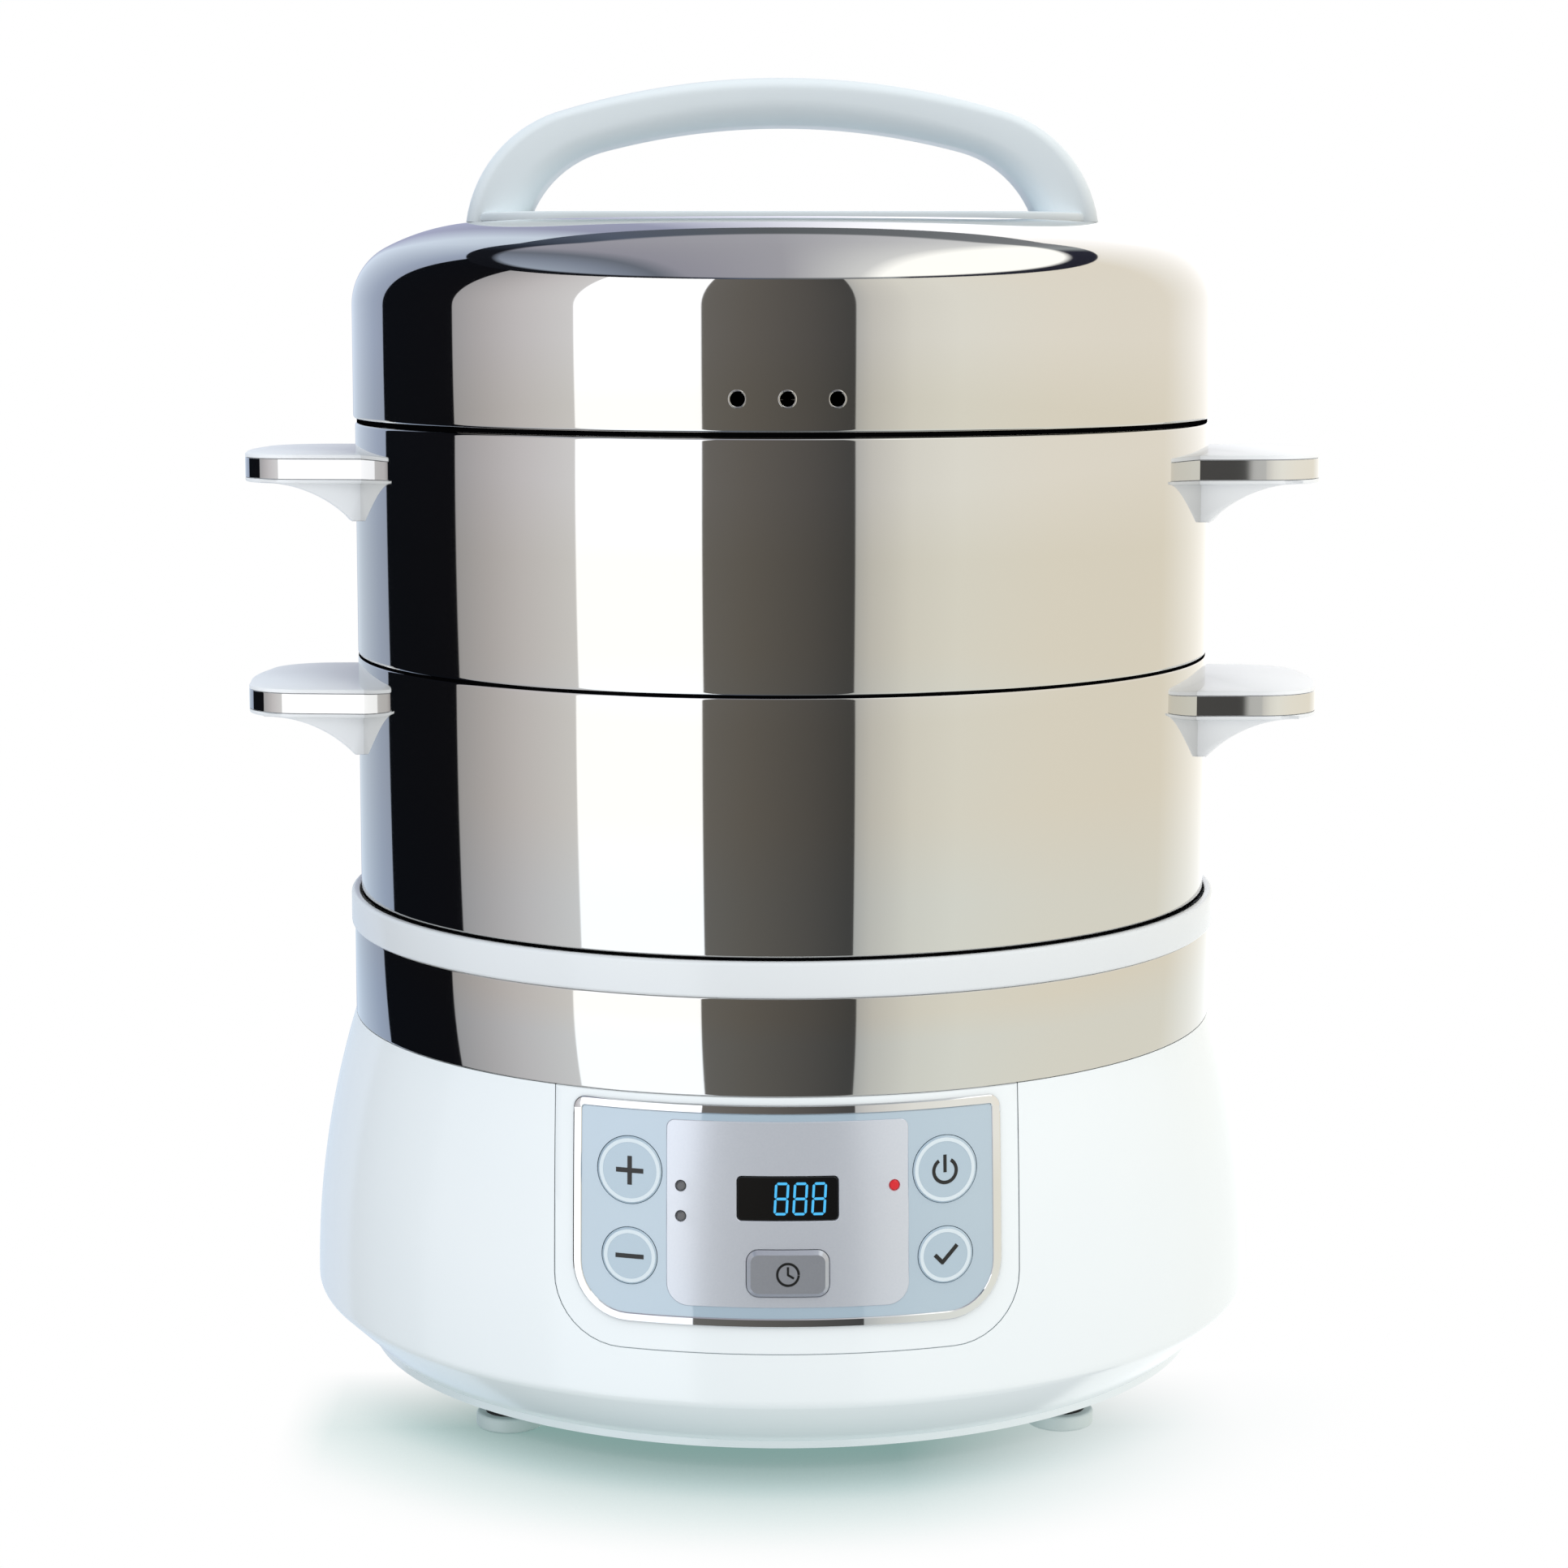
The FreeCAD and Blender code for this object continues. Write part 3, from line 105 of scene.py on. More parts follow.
# %% [markdown]
# ## Small helpers for colours and shader nodes
# A colour is written as an sRGB hex value, the way a colour picker shows it, and one function turns it to
# the linear light that Blender works in. One more function adds a shader node, sets it and links it.

# %% Colour and node helpers
def linear(hex_colour):
    """An sRGB hex value as linear red, green, blue and alpha."""
    channels = [int(hex_colour[index:index + 2], 16) / 255 for index in (1, 3, 5)]
    return [c / 12.92 if c <= 0.04045 else ((c + 0.055) / 1.055) ** 2.4 for c in channels] + [1.0]


def add(tree, kind, inputs=None, **settings):
    """Add a node, set its properties, and set or link its inputs by name or number."""
    made = tree.nodes.new(kind)
    for name, value in settings.items():
        setattr(made, name, value)
    for key, value in (inputs or {}).items():
        if isinstance(value, bpy.types.NodeSocket):
            tree.links.new(value, made.inputs[key])
        else:
            made.inputs[key].default_value = value
    return made


def new_material(name):
    """An empty node material and its tree."""
    material = bpy.data.materials.new(name)
    material.use_nodes = True
    tree = material.node_tree
    tree.nodes.clear()
    return material, tree


def finish_material(material, tree, shader):
    """Link the shader to the material's output."""
    add(tree, "ShaderNodeOutputMaterial", {"Surface": shader})
    return material


def object_noise(tree, size_mm, stretch=(1, 1, 1), detail=2.0):
    """Noise on Object coordinates whose features are about this many millimetres across."""
    place = add(tree, "ShaderNodeTexCoord")
    scale = [axis / (size_mm * MM) for axis in stretch]
    turned = add(tree, "ShaderNodeMapping", {"Vector": place.outputs["Object"], "Scale": scale})
    noise = add(tree, "ShaderNodeTexNoise", {"Vector": turned.outputs[0], "Scale": 1.0, "Detail": detail})
    return noise.outputs["Fac"]


# %% [markdown]
# ## Metals
# The lid, baskets and band are stainless steel, spun and polished to a mirror. A polishing wheel leaves
# very fine lines around the turned body, so the noise of its skin is stretched around Z. The real lines
# lie some hundredths of a millimetre apart, too fine for the render, and are drawn 0.6 mm apart. The
# flakes in silver lacquer are drawn coarser too, at 0.5 mm. A picture of scratches could do the same, but
# noise in millimetres needs no file and has one size on every piece.

# %% Metals
AROUND = (0.004, 0.004, 1.0)
EVEN = (1, 1, 1)


def metal(name, hex_colour, rough, cloud_mm, detail=2.0, skin=None):
    """A bare or plated metal: noise moves its roughness between two values, and a skin bends its reflections.

    skin holds a grain's size in millimetres, its stretch and detail, and the strength and depth of the bend.
    """
    material, tree = new_material(name)
    cloud = object_noise(tree, cloud_mm, EVEN, detail)
    gloss = add(tree, "ShaderNodeMapRange", {0: cloud, 3: rough[0], 4: rough[1]})
    inputs = {"Base Color": linear(hex_colour), "Metallic": 1.0, "Roughness": gloss.outputs[0]}
    if skin:
        size_mm, stretch, grain_detail, strength, depth_mm = skin
        grain = object_noise(tree, size_mm, stretch, grain_detail)
        bent = add(tree, "ShaderNodeBump", {"Height": grain, "Strength": strength, "Distance": depth_mm * MM})
        inputs["Normal"] = bent.outputs[0]
    shader = add(tree, "ShaderNodeBsdfPrincipled", inputs)
    return finish_material(material, tree, shader.outputs[0])


def satin_silver(name, hex_low, hex_high, metallic, rough):
    """Silver metallic film or lacquer: fine sparkle that blurs the studio into soft bands."""
    material, tree = new_material(name)
    sparkle = object_noise(tree, 0.5)
    shades = {0: sparkle, 6: linear(hex_low), 7: linear(hex_high)}
    shade = add(tree, "ShaderNodeMix", shades, data_type="RGBA")
    gloss = add(tree, "ShaderNodeMapRange", {0: sparkle, 3: rough * 0.8, 4: rough * 1.2})
    shader = add(tree, "ShaderNodeBsdfPrincipled", {
        "Base Color": shade.outputs[2], "Metallic": metallic, "Roughness": gloss.outputs[0],
    })
    return finish_material(material, tree, shader.outputs[0])


# %% [markdown]
# ## Plastics, film and rubber
# The base is gloss white ABS with a faint cool cast. A moulded skin is never perfectly flat, so a very
# shallow, slow noise bends its highlights. The handles are a greyer white, moulded with a softer gloss.
# The side grips take a lighter copy of that white, which is painted light for the light that falls on them.
# One function serves every moulding, film and ink, because they differ only in colour, gloss and clear coat.

# %% Plastics, film and rubber
PLASTIC_IOR = 1.53
COAT_ROUGHNESS = 0.04
SKIN_DEPTH = 0.1 * MM


def moulded(name, hex_low, hex_high, rough, wave_mm=9.0, wave=0.03, coat=0.0, coat_ior=1.5, shine=0.5):
    """A moulded plastic: two close shades mixed by slow noise, and a shallow wave in its skin."""
    material, tree = new_material(name)
    cloud = object_noise(tree, 45.0)
    skin = object_noise(tree, wave_mm, detail=1.0)
    shades = {0: cloud, 6: linear(hex_low), 7: linear(hex_high)}
    shade = add(tree, "ShaderNodeMix", shades, data_type="RGBA")
    gloss = add(tree, "ShaderNodeMapRange", {0: cloud, 3: rough * 0.85, 4: rough * 1.15})
    bent = add(tree, "ShaderNodeBump", {"Height": skin, "Strength": wave, "Distance": SKIN_DEPTH})
    shader = add(tree, "ShaderNodeBsdfPrincipled", {
        "Base Color": shade.outputs[2], "Roughness": gloss.outputs[0], "Normal": bent.outputs[0],
        "IOR": PLASTIC_IOR, "Specular IOR Level": shine,
        "Coat Weight": coat, "Coat Roughness": COAT_ROUGHNESS, "Coat IOR": coat_ior,
    })
    return finish_material(material, tree, shader.outputs[0])


def glowing(name, hex_colour, strength):
    """A lit lamp or display segment behind a clear lens."""
    material, tree = new_material(name)
    shader = add(tree, "ShaderNodeBsdfPrincipled", {
        "Base Color": linear(hex_colour), "Roughness": 0.25,
        "Emission Color": linear(hex_colour), "Emission Strength": strength,
    })
    return finish_material(material, tree, shader.outputs[0])


FINISHES = {
    # Mirror-polished stainless: sharp reflections with a faint lathe grain running round the body.
    "steel": metal("polished_stainless", "#DAD9D6", (0.02, 0.05), 60, 3.0, (0.6, AROUND, 3.0, 0.02, 0.02)),
    # Bright chrome on moulded plastic: a clean mirror that softens a little where it was handled.
    "chrome": metal("chrome_plate", "#E4E5E6", (0.012, 0.035), 12),
    # Silver film and lacquer: pale, with the studio's bands blurred.
    "silver": satin_silver("silver_panel_film", "#CFD5DF", "#D8DDE5", 0.4, 0.22),
    "delay": satin_silver("silver_button_lacquer", "#B2B7C0", "#BCC1C9", 0.6, 0.2),
    # Zinc-plated screw steel: grey, slightly cloudy.
    "zinc": metal("zinc_plate", "#B4B6BA", (0.25, 0.4), 2.0),
    # Cast aluminium of the heater: dull, with a grainy skin.
    "heater": metal("cast_aluminium", "#A7A8A8", (0.35, 0.55), 0.8, 4.0, (0.8, EVEN, 4.0, 0.15, 0.05)),
    # Moulded ABS: an even white under a thin highlight, sharp on the base and soft on the handles.
    "white": moulded("gloss_white_abs", "#EAF1F4", "#EEF4F6", 0.16),
    "tray": moulded("tray_white", "#DEE3E6", "#E3E8EB", 0.2),
    "handle": moulded("cool_white_abs", "#DCE5EA", "#E0E9ED", 0.34, wave=0.0),
    # The side grips' lighter white is painted light: a lit copy of the handle white.
    "grip": moulded("grip_abs_painted_lighter", "#EFF3F6", "#F3F6F8", 0.34, wave=0.0),
    # Clear-coated film: a flat colour under a bright reflection.
    "film": moulded("blue_grey_film", "#A4B9C9", "#ACC1CF", 0.34, coat=1.0, coat_ior=2.0),
    "cap": moulded("button_film", "#A6BBCA", "#AFC3D0", 0.3, coat=0.7, coat_ior=1.7),
    # Smoked lenses: nearly black where nothing is lit behind them.
    "lens": moulded("smoked_lens", "#040506", "#07080A", 0.08, coat=0.5),
    "lamp_off": moulded("grey_lamp_lens", "#47484B", "#525356", 0.2, coat=0.5),
    "lamp_red": glowing("lit_red_lamp", "#B5121E", 0.45),
    "digit": glowing("lit_blue_digit", "#3D9CCB", 0.6),
    # Printing ink, and the painted shade that lies in a seam: flat, with little gloss or none.
    "ink": moulded("black_ink", "#0B0C0D", "#111314", 0.4),
    "seam": moulded("painted_seam_shade", "#030304", "#060607", 0.9, shine=0.0),
    "pale_ink": moulded("pale_ink", "#D2DFE6", "#D9E5EB", 0.35),
    # Foot pads, rubber, silicone and the pieces inside: matt. The rubber's grain is drawn coarser than it is.
    # The foot pads' pale tone is partly painted highlight, for the floor's glow round each foot.
    "pad": moulded("pale_foot_pad_painted_glow", "#CFD9D9", "#D6E0DF", 0.5),
    "rubber": moulded("black_rubber", "#141415", "#1C1C1D", 0.75, wave_mm=0.8, wave=0.2),
    "silicone": moulded("grey_silicone", "#B9B9B5", "#C4C4C0", 0.6),
    "board": moulded("green_solder_mask", "#1E5A33", "#256A3C", 0.35),
    "black": moulded("black_moulding", "#101113", "#18191B", 0.45),
}
SLOT_FINISH = {
    "polished_steel": "steel", "white_plastic": "white", "handle_plastic": "handle", "chrome_trim": "chrome",
    "overlay_film": "film", "silver_plate": "silver", "display_glass": "lens", "led_lens": "lamp_off",
    "foot_rubber": "rubber", "seal_silicone": "silicone", "heater_metal": "heater", "zinc_screws": "zinc",
    "circuit_board": "board", "black_moulding": "black",
}
node_slot = {entry["node"]: entry["material_slot"] for entry in frame["record"]["subparts"]}
for name, piece in nodes.items():
    piece.data.materials.clear()
    piece.data.materials.append(FINISHES[SLOT_FINISH[node_slot[name]]])
node_body = {}
for body, members in frame["record"]["behaviour"]["bodies"].items():
    node_body.update({name: body for name in members})
print("finishes", len(FINISHES))

# %% [markdown]
# ## Making and placing pieces
# A finished piece sits at the origin with its place in its mesh. It rides on the body of the node that it
# stands for. Meshes are written from lists of points and faces, because a reader can then follow every
# size, which the steps of edit mode would hide.

# %% Piece helpers
SMOOTH_LIMIT = math.radians(32)


def linked(name, data):
    """An object for a mesh, light or camera, linked into the scene."""
    made = bpy.data.objects.new(name, data)
    bpy.context.scene.collection.objects.link(made)
    return made


def smoothed(mesh, finish):
    """Smooth faces, hard corners and a finish for a mesh."""
    mesh.shade_smooth()
    mesh.set_sharp_from_angle(angle=SMOOTH_LIMIT)
    mesh.materials.append(FINISHES[finish])
    return mesh


def piece_from(name, points, faces, finish):
    """A mesh object with smooth faces and hard corners."""
    mesh = bpy.data.meshes.new(name)
    mesh.from_pydata([tuple(point) for point in points], [], faces)
    mesh.validate()
    return linked(name, smoothed(mesh, finish))


def face_outward(mesh):
    """Turn every face of a closed mesh outward."""
    shape = bmesh.new()
    shape.from_mesh(mesh)
    bmesh.ops.recalc_face_normals(shape, faces=shape.faces)
    shape.to_mesh(mesh)
    shape.free()


def worked_in(piece):
    """Work a piece's modifiers into a plain mesh of its own."""
    bpy.context.view_layer.update()
    mesh = bpy.data.meshes.new_from_object(piece.evaluated_get(bpy.context.evaluated_depsgraph_get()))
    piece.modifiers.clear()
    piece.data = mesh
    return mesh


def stands_for(piece, node):
    """The piece takes a CAD node's place and body."""
    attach(piece, node_body[node])
    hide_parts(node)
    print(piece.name, "stands for", node, "with", len(piece.data.polygons), "faces")
    return piece


def rides_with(piece, node):
    """The piece is an extra detail on a CAD node's body."""
    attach(piece, node_body[node])
    return piece


# %% [markdown]
# ## Setting out what repeats
# The feet and the rims of the vents are small pieces that repeat. A loop could copy each of them, but one
# Geometry Nodes tree sets any piece out at every point of a mesh, and its inputs are just the piece and
# its finish. The result is turned into a plain mesh, so the modifier goes again before the frame hears of
# it.

# %% Set-out tree
set_out_tree = bpy.data.node_groups.new("set_out", "GeometryNodeTree")
sockets = set_out_tree.interface
sockets.new_socket("Geometry", in_out="INPUT", socket_type="NodeSocketGeometry")
PIECE_INPUT = sockets.new_socket("Piece", in_out="INPUT", socket_type="NodeSocketObject").identifier
FINISH_INPUT = sockets.new_socket("Finish", in_out="INPUT", socket_type="NodeSocketMaterial").identifier
sockets.new_socket("Geometry", in_out="OUTPUT", socket_type="NodeSocketGeometry")
given = add(set_out_tree, "NodeGroupInput")
source = add(set_out_tree, "GeometryNodeObjectInfo", {"Object": given.outputs["Piece"]})
copies = add(set_out_tree, "GeometryNodeInstanceOnPoints",
             {"Points": given.outputs["Geometry"], "Instance": source.outputs["Geometry"]})
real = add(set_out_tree, "GeometryNodeRealizeInstances", {"Geometry": copies.outputs[0]})
coated = add(set_out_tree, "GeometryNodeSetMaterial",
             {"Geometry": real.outputs[0], "Material": given.outputs["Finish"]})
add(set_out_tree, "NodeGroupOutput", {"Geometry": coated.outputs[0]})


def set_out(name, piece, places, finish):
    """Copies of a piece at these places, as one plain mesh."""
    mesh = bpy.data.meshes.new(name)
    mesh.from_pydata(places, [], [])
    made = linked(name, mesh)
    layout = made.modifiers.new("layout", "NODES")
    layout.node_group = set_out_tree
    layout[PIECE_INPUT] = piece
    layout[FINISH_INPUT] = FINISHES[finish]
    result = worked_in(made)
    bpy.data.objects.remove(piece)
    print(name, len(places), "copies", len(result.vertices), "points")
    return made


# %% [markdown]
# ## Turned pieces
# The lid, baskets, band, tray and housing are all round. A Screw modifier could turn them, but a lathe of
# our own needs only an outline of radius and height, and keeps that outline for later. Arcs are sampled
# by angle, and the turn is in fine steps so that a mirror finish stays smooth. Outlines run with the
# solid on their left.

# %% Lathe
TURN_STEPS = 240


def bend(radius_at, height_at, radius, start, end, steps=8):
    """Points of an arc about a centre, from one angle in degrees to another."""
    angles = [math.radians(start + (end - start) * step / steps) for step in range(steps + 1)]
    return [(radius_at + radius * math.cos(angle), height_at + radius * math.sin(angle)) for angle in angles]


def lathe(name, outline, finish, steps=TURN_STEPS):
    """Turn a closed outline of (radius, height) about Z."""
    points = []
    rings = []
    for radius, height in outline:
        count = 1 if radius < 1e-7 else steps
        rings.append(list(range(len(points), len(points) + count)))
        for step in range(count):
            angle = 2 * math.pi * step / count
            points.append((radius * math.cos(angle), radius * math.sin(angle), height))
    faces = []
    for index, ring in enumerate(rings):
        above = rings[(index + 1) % len(rings)]
        if len(ring) == 1 and len(above) == 1:
            continue
        for step in range(steps):
            after = (step + 1) % steps
            corners = [ring[step % len(ring)], ring[after % len(ring)],
                       above[after % len(above)], above[step % len(above)]]
            faces.append(list(dict.fromkeys(corners)))
    return piece_from(name, points, faces, finish)


# %% [markdown]
# ## Cuts in turned pieces
# The vents and the panel's notch are punched out with a Boolean. That leaves long thin faces, whose
# shading dents a mirror. Remeshing would soften every edge, so each corner is given back the normal that
# the turned surface has at that place instead.

# %% Cuts
SAME_SURFACE = 0.05 * MM
SAME_WAY = 0.9


def unit(rows):
    """Rows of numbers, each brought to length one."""
    return rows / np.maximum(np.linalg.norm(rows, axis=1, keepdims=True), 1e-12)


def outline_normals(outline):
    """For each edge of an outline: its two ends and the outward normals there, smoothed over soft corners."""
    ends = np.array(outline)
    after = np.roll(ends, -1, axis=0)
    along = after - ends
    flat = unit(np.stack([along[:, 1], -along[:, 0]], axis=1))
    before = np.roll(flat, 1, axis=0)
    soft = np.sum(before * flat, axis=1) > math.cos(SMOOTH_LIMIT)
    mean = unit(before + flat)
    starts = np.where(soft[:, None], mean, flat)
    finishes = np.where(np.roll(soft, -1)[:, None], np.roll(mean, -1, axis=0), flat)
    return ends, after, starts, finishes, flat


def read_from(items, name, width, kind=float):
    """A property of a mesh's points, corners or faces as an array."""
    values = np.zeros(len(items) * width, kind)
    items.foreach_get(name, values)
    return values.reshape(-1, width)


def turned_normals(mesh, outline):
    """The normal of the turned surface at every corner that lies on it, and the face's own elsewhere."""
    corner_point = read_from(mesh.loops, "vertex_index", 1, int)[:, 0]
    corner = read_from(mesh.vertices, "co", 3)[corner_point]
    face_size = read_from(mesh.polygons, "loop_total", 1, int)[:, 0]
    normals = np.repeat(read_from(mesh.polygons, "normal", 3), face_size, axis=0)
    radius = np.hypot(corner[:, 0], corner[:, 1])
    outward = corner[:, :2] / np.maximum(radius, 1e-9)[:, None]
    spot = np.stack([radius, corner[:, 2]], axis=1)
    facing = np.stack([np.sum(normals[:, :2] * outward, axis=1), normals[:, 2]], axis=1)
    best = np.full(len(spot), SAME_SURFACE)
    smooth = normals.copy()
    for start, end, start_normal, end_normal, flat in zip(*outline_normals(outline)):
        along = end - start
        share = np.clip((spot - start) @ along / max(along @ along, 1e-18), 0, 1)[:, None]
        gap = np.linalg.norm(spot - start - share * along, axis=1)
        better = (gap < best) & (facing @ flat > SAME_WAY)
        bent = unit(start_normal * (1 - share) + end_normal * share)
        smooth[better] = np.concatenate([outward * bent[:, :1], bent[:, 1:]], axis=1)[better]
        best[better] = gap[better]
    return smooth


def carve(piece, cutters, outline, finish):
    """Cut solids out of a turned piece, then give every corner the turned surface's own normal again."""
    for cutter in cutters:
        cut = piece.modifiers.new("cut", "BOOLEAN")
        cut.object = cutter
        cut.solver = "EXACT"
    mesh = worked_in(piece)
    for cutter in cutters:
        bpy.data.objects.remove(cutter)
    mesh.materials.clear()
    smooth = turned_normals(mesh, outline)
    mesh.shade_smooth()
    mesh.normals_split_custom_set(smooth.tolist())
    mesh.materials.append(FINISHES[finish])


# %% [markdown]
# ## Steel band and baskets
# Each basket is a drawn wall with a rolled rim and a foot ring that drops into the tier below. The rolls
# are small arcs in the outline: they catch the bright lines beside the dark seams. A Bevel modifier could
# round them as well, but arcs in the outline keep their radius. A thin ring of painted shade lies in each
# seam, because the real shade in so narrow a gap is lost between two mirrors.

# %% Band and baskets
STEEL_WALL = 0.8 * MM
FOOT_RING_RADIUS = 117.6 * MM
FOOT_RING_DROP = 6.5 * MM
FLOOR_LEDGE = 108.0 * MM
STEP_ROUND = 1.1 * MM
RIM_ROUND = 0.9 * MM
RIM_INNER = BASKET_RADIUS - 1.6 * MM
ROLL_DROP = 2.4 * MM
ROLL_END = 3.0 * MM


def basket_outline(seat, rim):
    """A basket wall from the level it stands on to its rim."""
    foot = seat - FOOT_RING_DROP
    inner = BASKET_RADIUS - STEEL_WALL
    foot_inner = FOOT_RING_RADIUS - STEEL_WALL
    outline = [(FLOOR_LEDGE, foot)]
    outline += bend(FOOT_RING_RADIUS - STEP_ROUND, foot + STEP_ROUND, STEP_ROUND, -90, 0, 4)
    outline += [(FOOT_RING_RADIUS, seat)]
    outline += bend(BASKET_RADIUS - STEP_ROUND, seat + STEP_ROUND, STEP_ROUND, -90, 0, 6)
    outline += bend(BASKET_RADIUS - RIM_ROUND, rim - RIM_ROUND, RIM_ROUND, 0, 90, 6)
    outline += [(RIM_INNER, rim), (RIM_INNER, rim - ROLL_DROP), (inner, rim - ROLL_END)]
    outline += [(inner, seat + STEEL_WALL), (foot_inner, seat + STEEL_WALL)]
    outline += [(foot_inner, foot + STEEL_WALL), (FLOOR_LEDGE, foot + STEEL_WALL)]
    return outline


SEAM_DEPTH = 1.0 * MM
SEAM_RADIUS = BASKET_RADIUS - 0.12 * MM
LID_SEAM_RADIUS = BASKET_RADIUS - 0.45 * MM
SEAM_HALF = 0.34 * MM
TOUCH = 0.02 * MM


def painted_shade_ring(name, low, high, radius, node):
    """A dark ring of painted shade in a joint, level with the bottom of its groove."""
    inner = radius - SEAM_DEPTH
    ring = lathe(name, [(inner, low), (radius, low), (radius, high), (inner, high)], "seam")
    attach(ring, node_body[node])
    return ring


# Each tier's wall, with a ring of painted shade in the seam at its foot.
for tier, seat, rim in (("lower", TRAY_TOP, LOWER_RIM), ("upper", LOWER_RIM, UPPER_RIM)):
    stands_for(lathe(f"{tier}_steel_wall", basket_outline(seat, rim), "steel"), f"{tier}_basket_wall")
    painted_shade_ring(f"{tier}_foot_seam", seat + TOUCH, seat + SEAM_HALF, SEAM_RADIUS, f"{tier}_basket_wall")
# Rings of painted shade in the seams under the lower rim and under the lid.
painted_shade_ring("lower_rim_seam", LOWER_RIM - SEAM_HALF, LOWER_RIM - TOUCH, SEAM_RADIUS, "lower_basket_wall")
painted_shade_ring("lid_seam", UPPER_RIM + TOUCH, LID_EDGE, LID_SEAM_RADIUS, "lid_shell")
BAND_ROUND = 0.5 * MM
band_outline = [(BAND_RADIUS - STEEL_WALL, HOUSING_TOP)]
band_outline += bend(BAND_RADIUS - BAND_ROUND, HOUSING_TOP + BAND_ROUND, BAND_ROUND, -90, 0, 4)
band_outline += bend(BAND_RADIUS - BAND_ROUND, BAND_TOP - BAND_ROUND, BAND_ROUND, 0, 90, 4)
band_outline += [(BAND_RADIUS - STEEL_WALL, BAND_TOP)]
stands_for(lathe("polished_band", band_outline, "steel"), "steel_band")

# %% [markdown]
# ## Lid
# The lid is one drawn shell: a straight side, a tight shoulder and a flatter crown that run into each
# other, then a flat top. Two arcs that touch give that shape. A spline through a few points could come
# near it, but the steel would show every place where the curve changes.

# %% Lid
SHOULDER = 18.0 * MM
CROWN = 60.0 * MM
SHOULDER_ANGLE = 62.0
HEM = 0.9 * MM
SPIGOT_RADIUS = 117.9 * MM
SPIGOT_LOW = UPPER_RIM - 6.0 * MM
REST_RADIUS = 119.4 * MM
shoulder_turn = math.radians(SHOULDER_ANGLE)
shoulder_at = LID_RADIUS - SHOULDER
crown_at = shoulder_at - (CROWN - SHOULDER) * math.cos(shoulder_turn)
crown_height = LID_TOP - CROWN
shoulder_height = crown_height + (CROWN - SHOULDER) * math.sin(shoulder_turn)
spigot_inner = SPIGOT_RADIUS - STEEL_WALL
lid_outline = [(spigot_inner, SPIGOT_LOW), (SPIGOT_RADIUS, SPIGOT_LOW), (SPIGOT_RADIUS, UPPER_RIM)]
lid_outline += [(REST_RADIUS, UPPER_RIM), (REST_RADIUS, LID_EDGE)]
lid_outline += bend(LID_RADIUS - HEM, LID_EDGE + HEM, HEM, -90, 0, 6)
lid_outline += bend(shoulder_at, shoulder_height, SHOULDER, 0, SHOULDER_ANGLE, 20)
lid_outline += bend(crown_at, crown_height, CROWN, SHOULDER_ANGLE, 90, 16)[1:]
lid_outline += [(0.0, LID_TOP), (0.0, LID_TOP - STEEL_WALL)]
lid_outline += bend(crown_at, crown_height, CROWN - STEEL_WALL, 90, SHOULDER_ANGLE, 16)
lid_outline += bend(shoulder_at, shoulder_height, SHOULDER - STEEL_WALL, SHOULDER_ANGLE, 0, 20)[1:]
lid_outline += [(LID_RADIUS - STEEL_WALL, LID_EDGE + STEEL_WALL), (spigot_inner, LID_EDGE + STEEL_WALL)]
lid_piece = lathe("lid_dome", lid_outline, "steel")

# %% [markdown]
# ## Steam vents
# Three holes are punched through the front of the lid, and the punch leaves a fine raised rim round each.
# A dark disc would pass for a hole from the front only, so the steel is really cut. The rims are one
# small ring, set out three times.

# %% Steam vents
VENT_RADIUS = 2.0 * MM
VENT_SPACING = 12.4 * MM
VENT_LEVEL = LID_EDGE + 8.4 * MM
RIM_TUBE = 0.22 * MM
CUT_FROM = LID_RADIUS * 1.1
CUT_TO = LID_RADIUS * 0.8


def rod(name, radius, start, end, steps=40):
    """A closed cylinder between two points, used as a cutter."""
    axis = Vector(end) - Vector(start)
    middle = Matrix.Translation((Vector(start) + Vector(end)) / 2)
    mesh = bpy.data.meshes.new(name)
    shape = bmesh.new()
    bmesh.ops.create_cone(shape, cap_ends=True, segments=steps,
                          radius1=radius, radius2=radius, depth=axis.length)
    shape.transform(middle @ axis.to_track_quat("Z", "Y").to_matrix().to_4x4())
    shape.to_mesh(mesh)
    shape.free()
    return linked(name, mesh)


vent_places = [(side * VENT_SPACING, VENT_LEVEL) for side in (-1, 0, 1)]
vent_cutters = [rod("vent_cutter", VENT_RADIUS, (x, -CUT_FROM, z), (x, -CUT_TO, z)) for x, z in vent_places]
carve(lid_piece, vent_cutters, lid_outline, "steel")
stands_for(lid_piece, "lid_shell")
vent_rim = lathe("vent_rim", bend(VENT_RADIUS + RIM_TUBE * 0.5, 0.0, RIM_TUBE, 0, 324, 9), "steel", 40)
vent_rim.data.transform(Matrix.Rotation(math.radians(90), 4, "X"))
rim_places = [(x, -math.sqrt(LID_RADIUS**2 - x**2), z) for x, z in vent_places]
rides_with(set_out("vent_rims", vent_rim, rim_places, "steel"), "lid_shell")

# %% [markdown]
# ## Base housing
# The flared wall is one arc that ends upright at the belly, where a small round turns it under to the
# bottom cover. The panel insert sits in a notch cut out of it, and the seam is the thin gap between them.
# A line painted on the wall would be simpler, but a real gap shades itself from every side.

# %% Base housing
BELLY_ROUND = 4.0 * MM
BOTTOM_RADIUS = 118.9 * MM
BOTTOM_ROUND = 0.8 * MM
BOTTOM_INNER = BOTTOM_RADIUS - 1.0 * MM
COVER_LEDGE = 104.0 * MM
TOP_LEDGE = 110.0 * MM
flare_at = BELLY_RADIUS - FLARE


def flare_angle(lift, height):
    """The angle in degrees at which the flared arc, lifted off the wall, reaches a height."""
    return math.degrees(math.asin((height - BELLY_HEIGHT) / (FLARE + lift)))


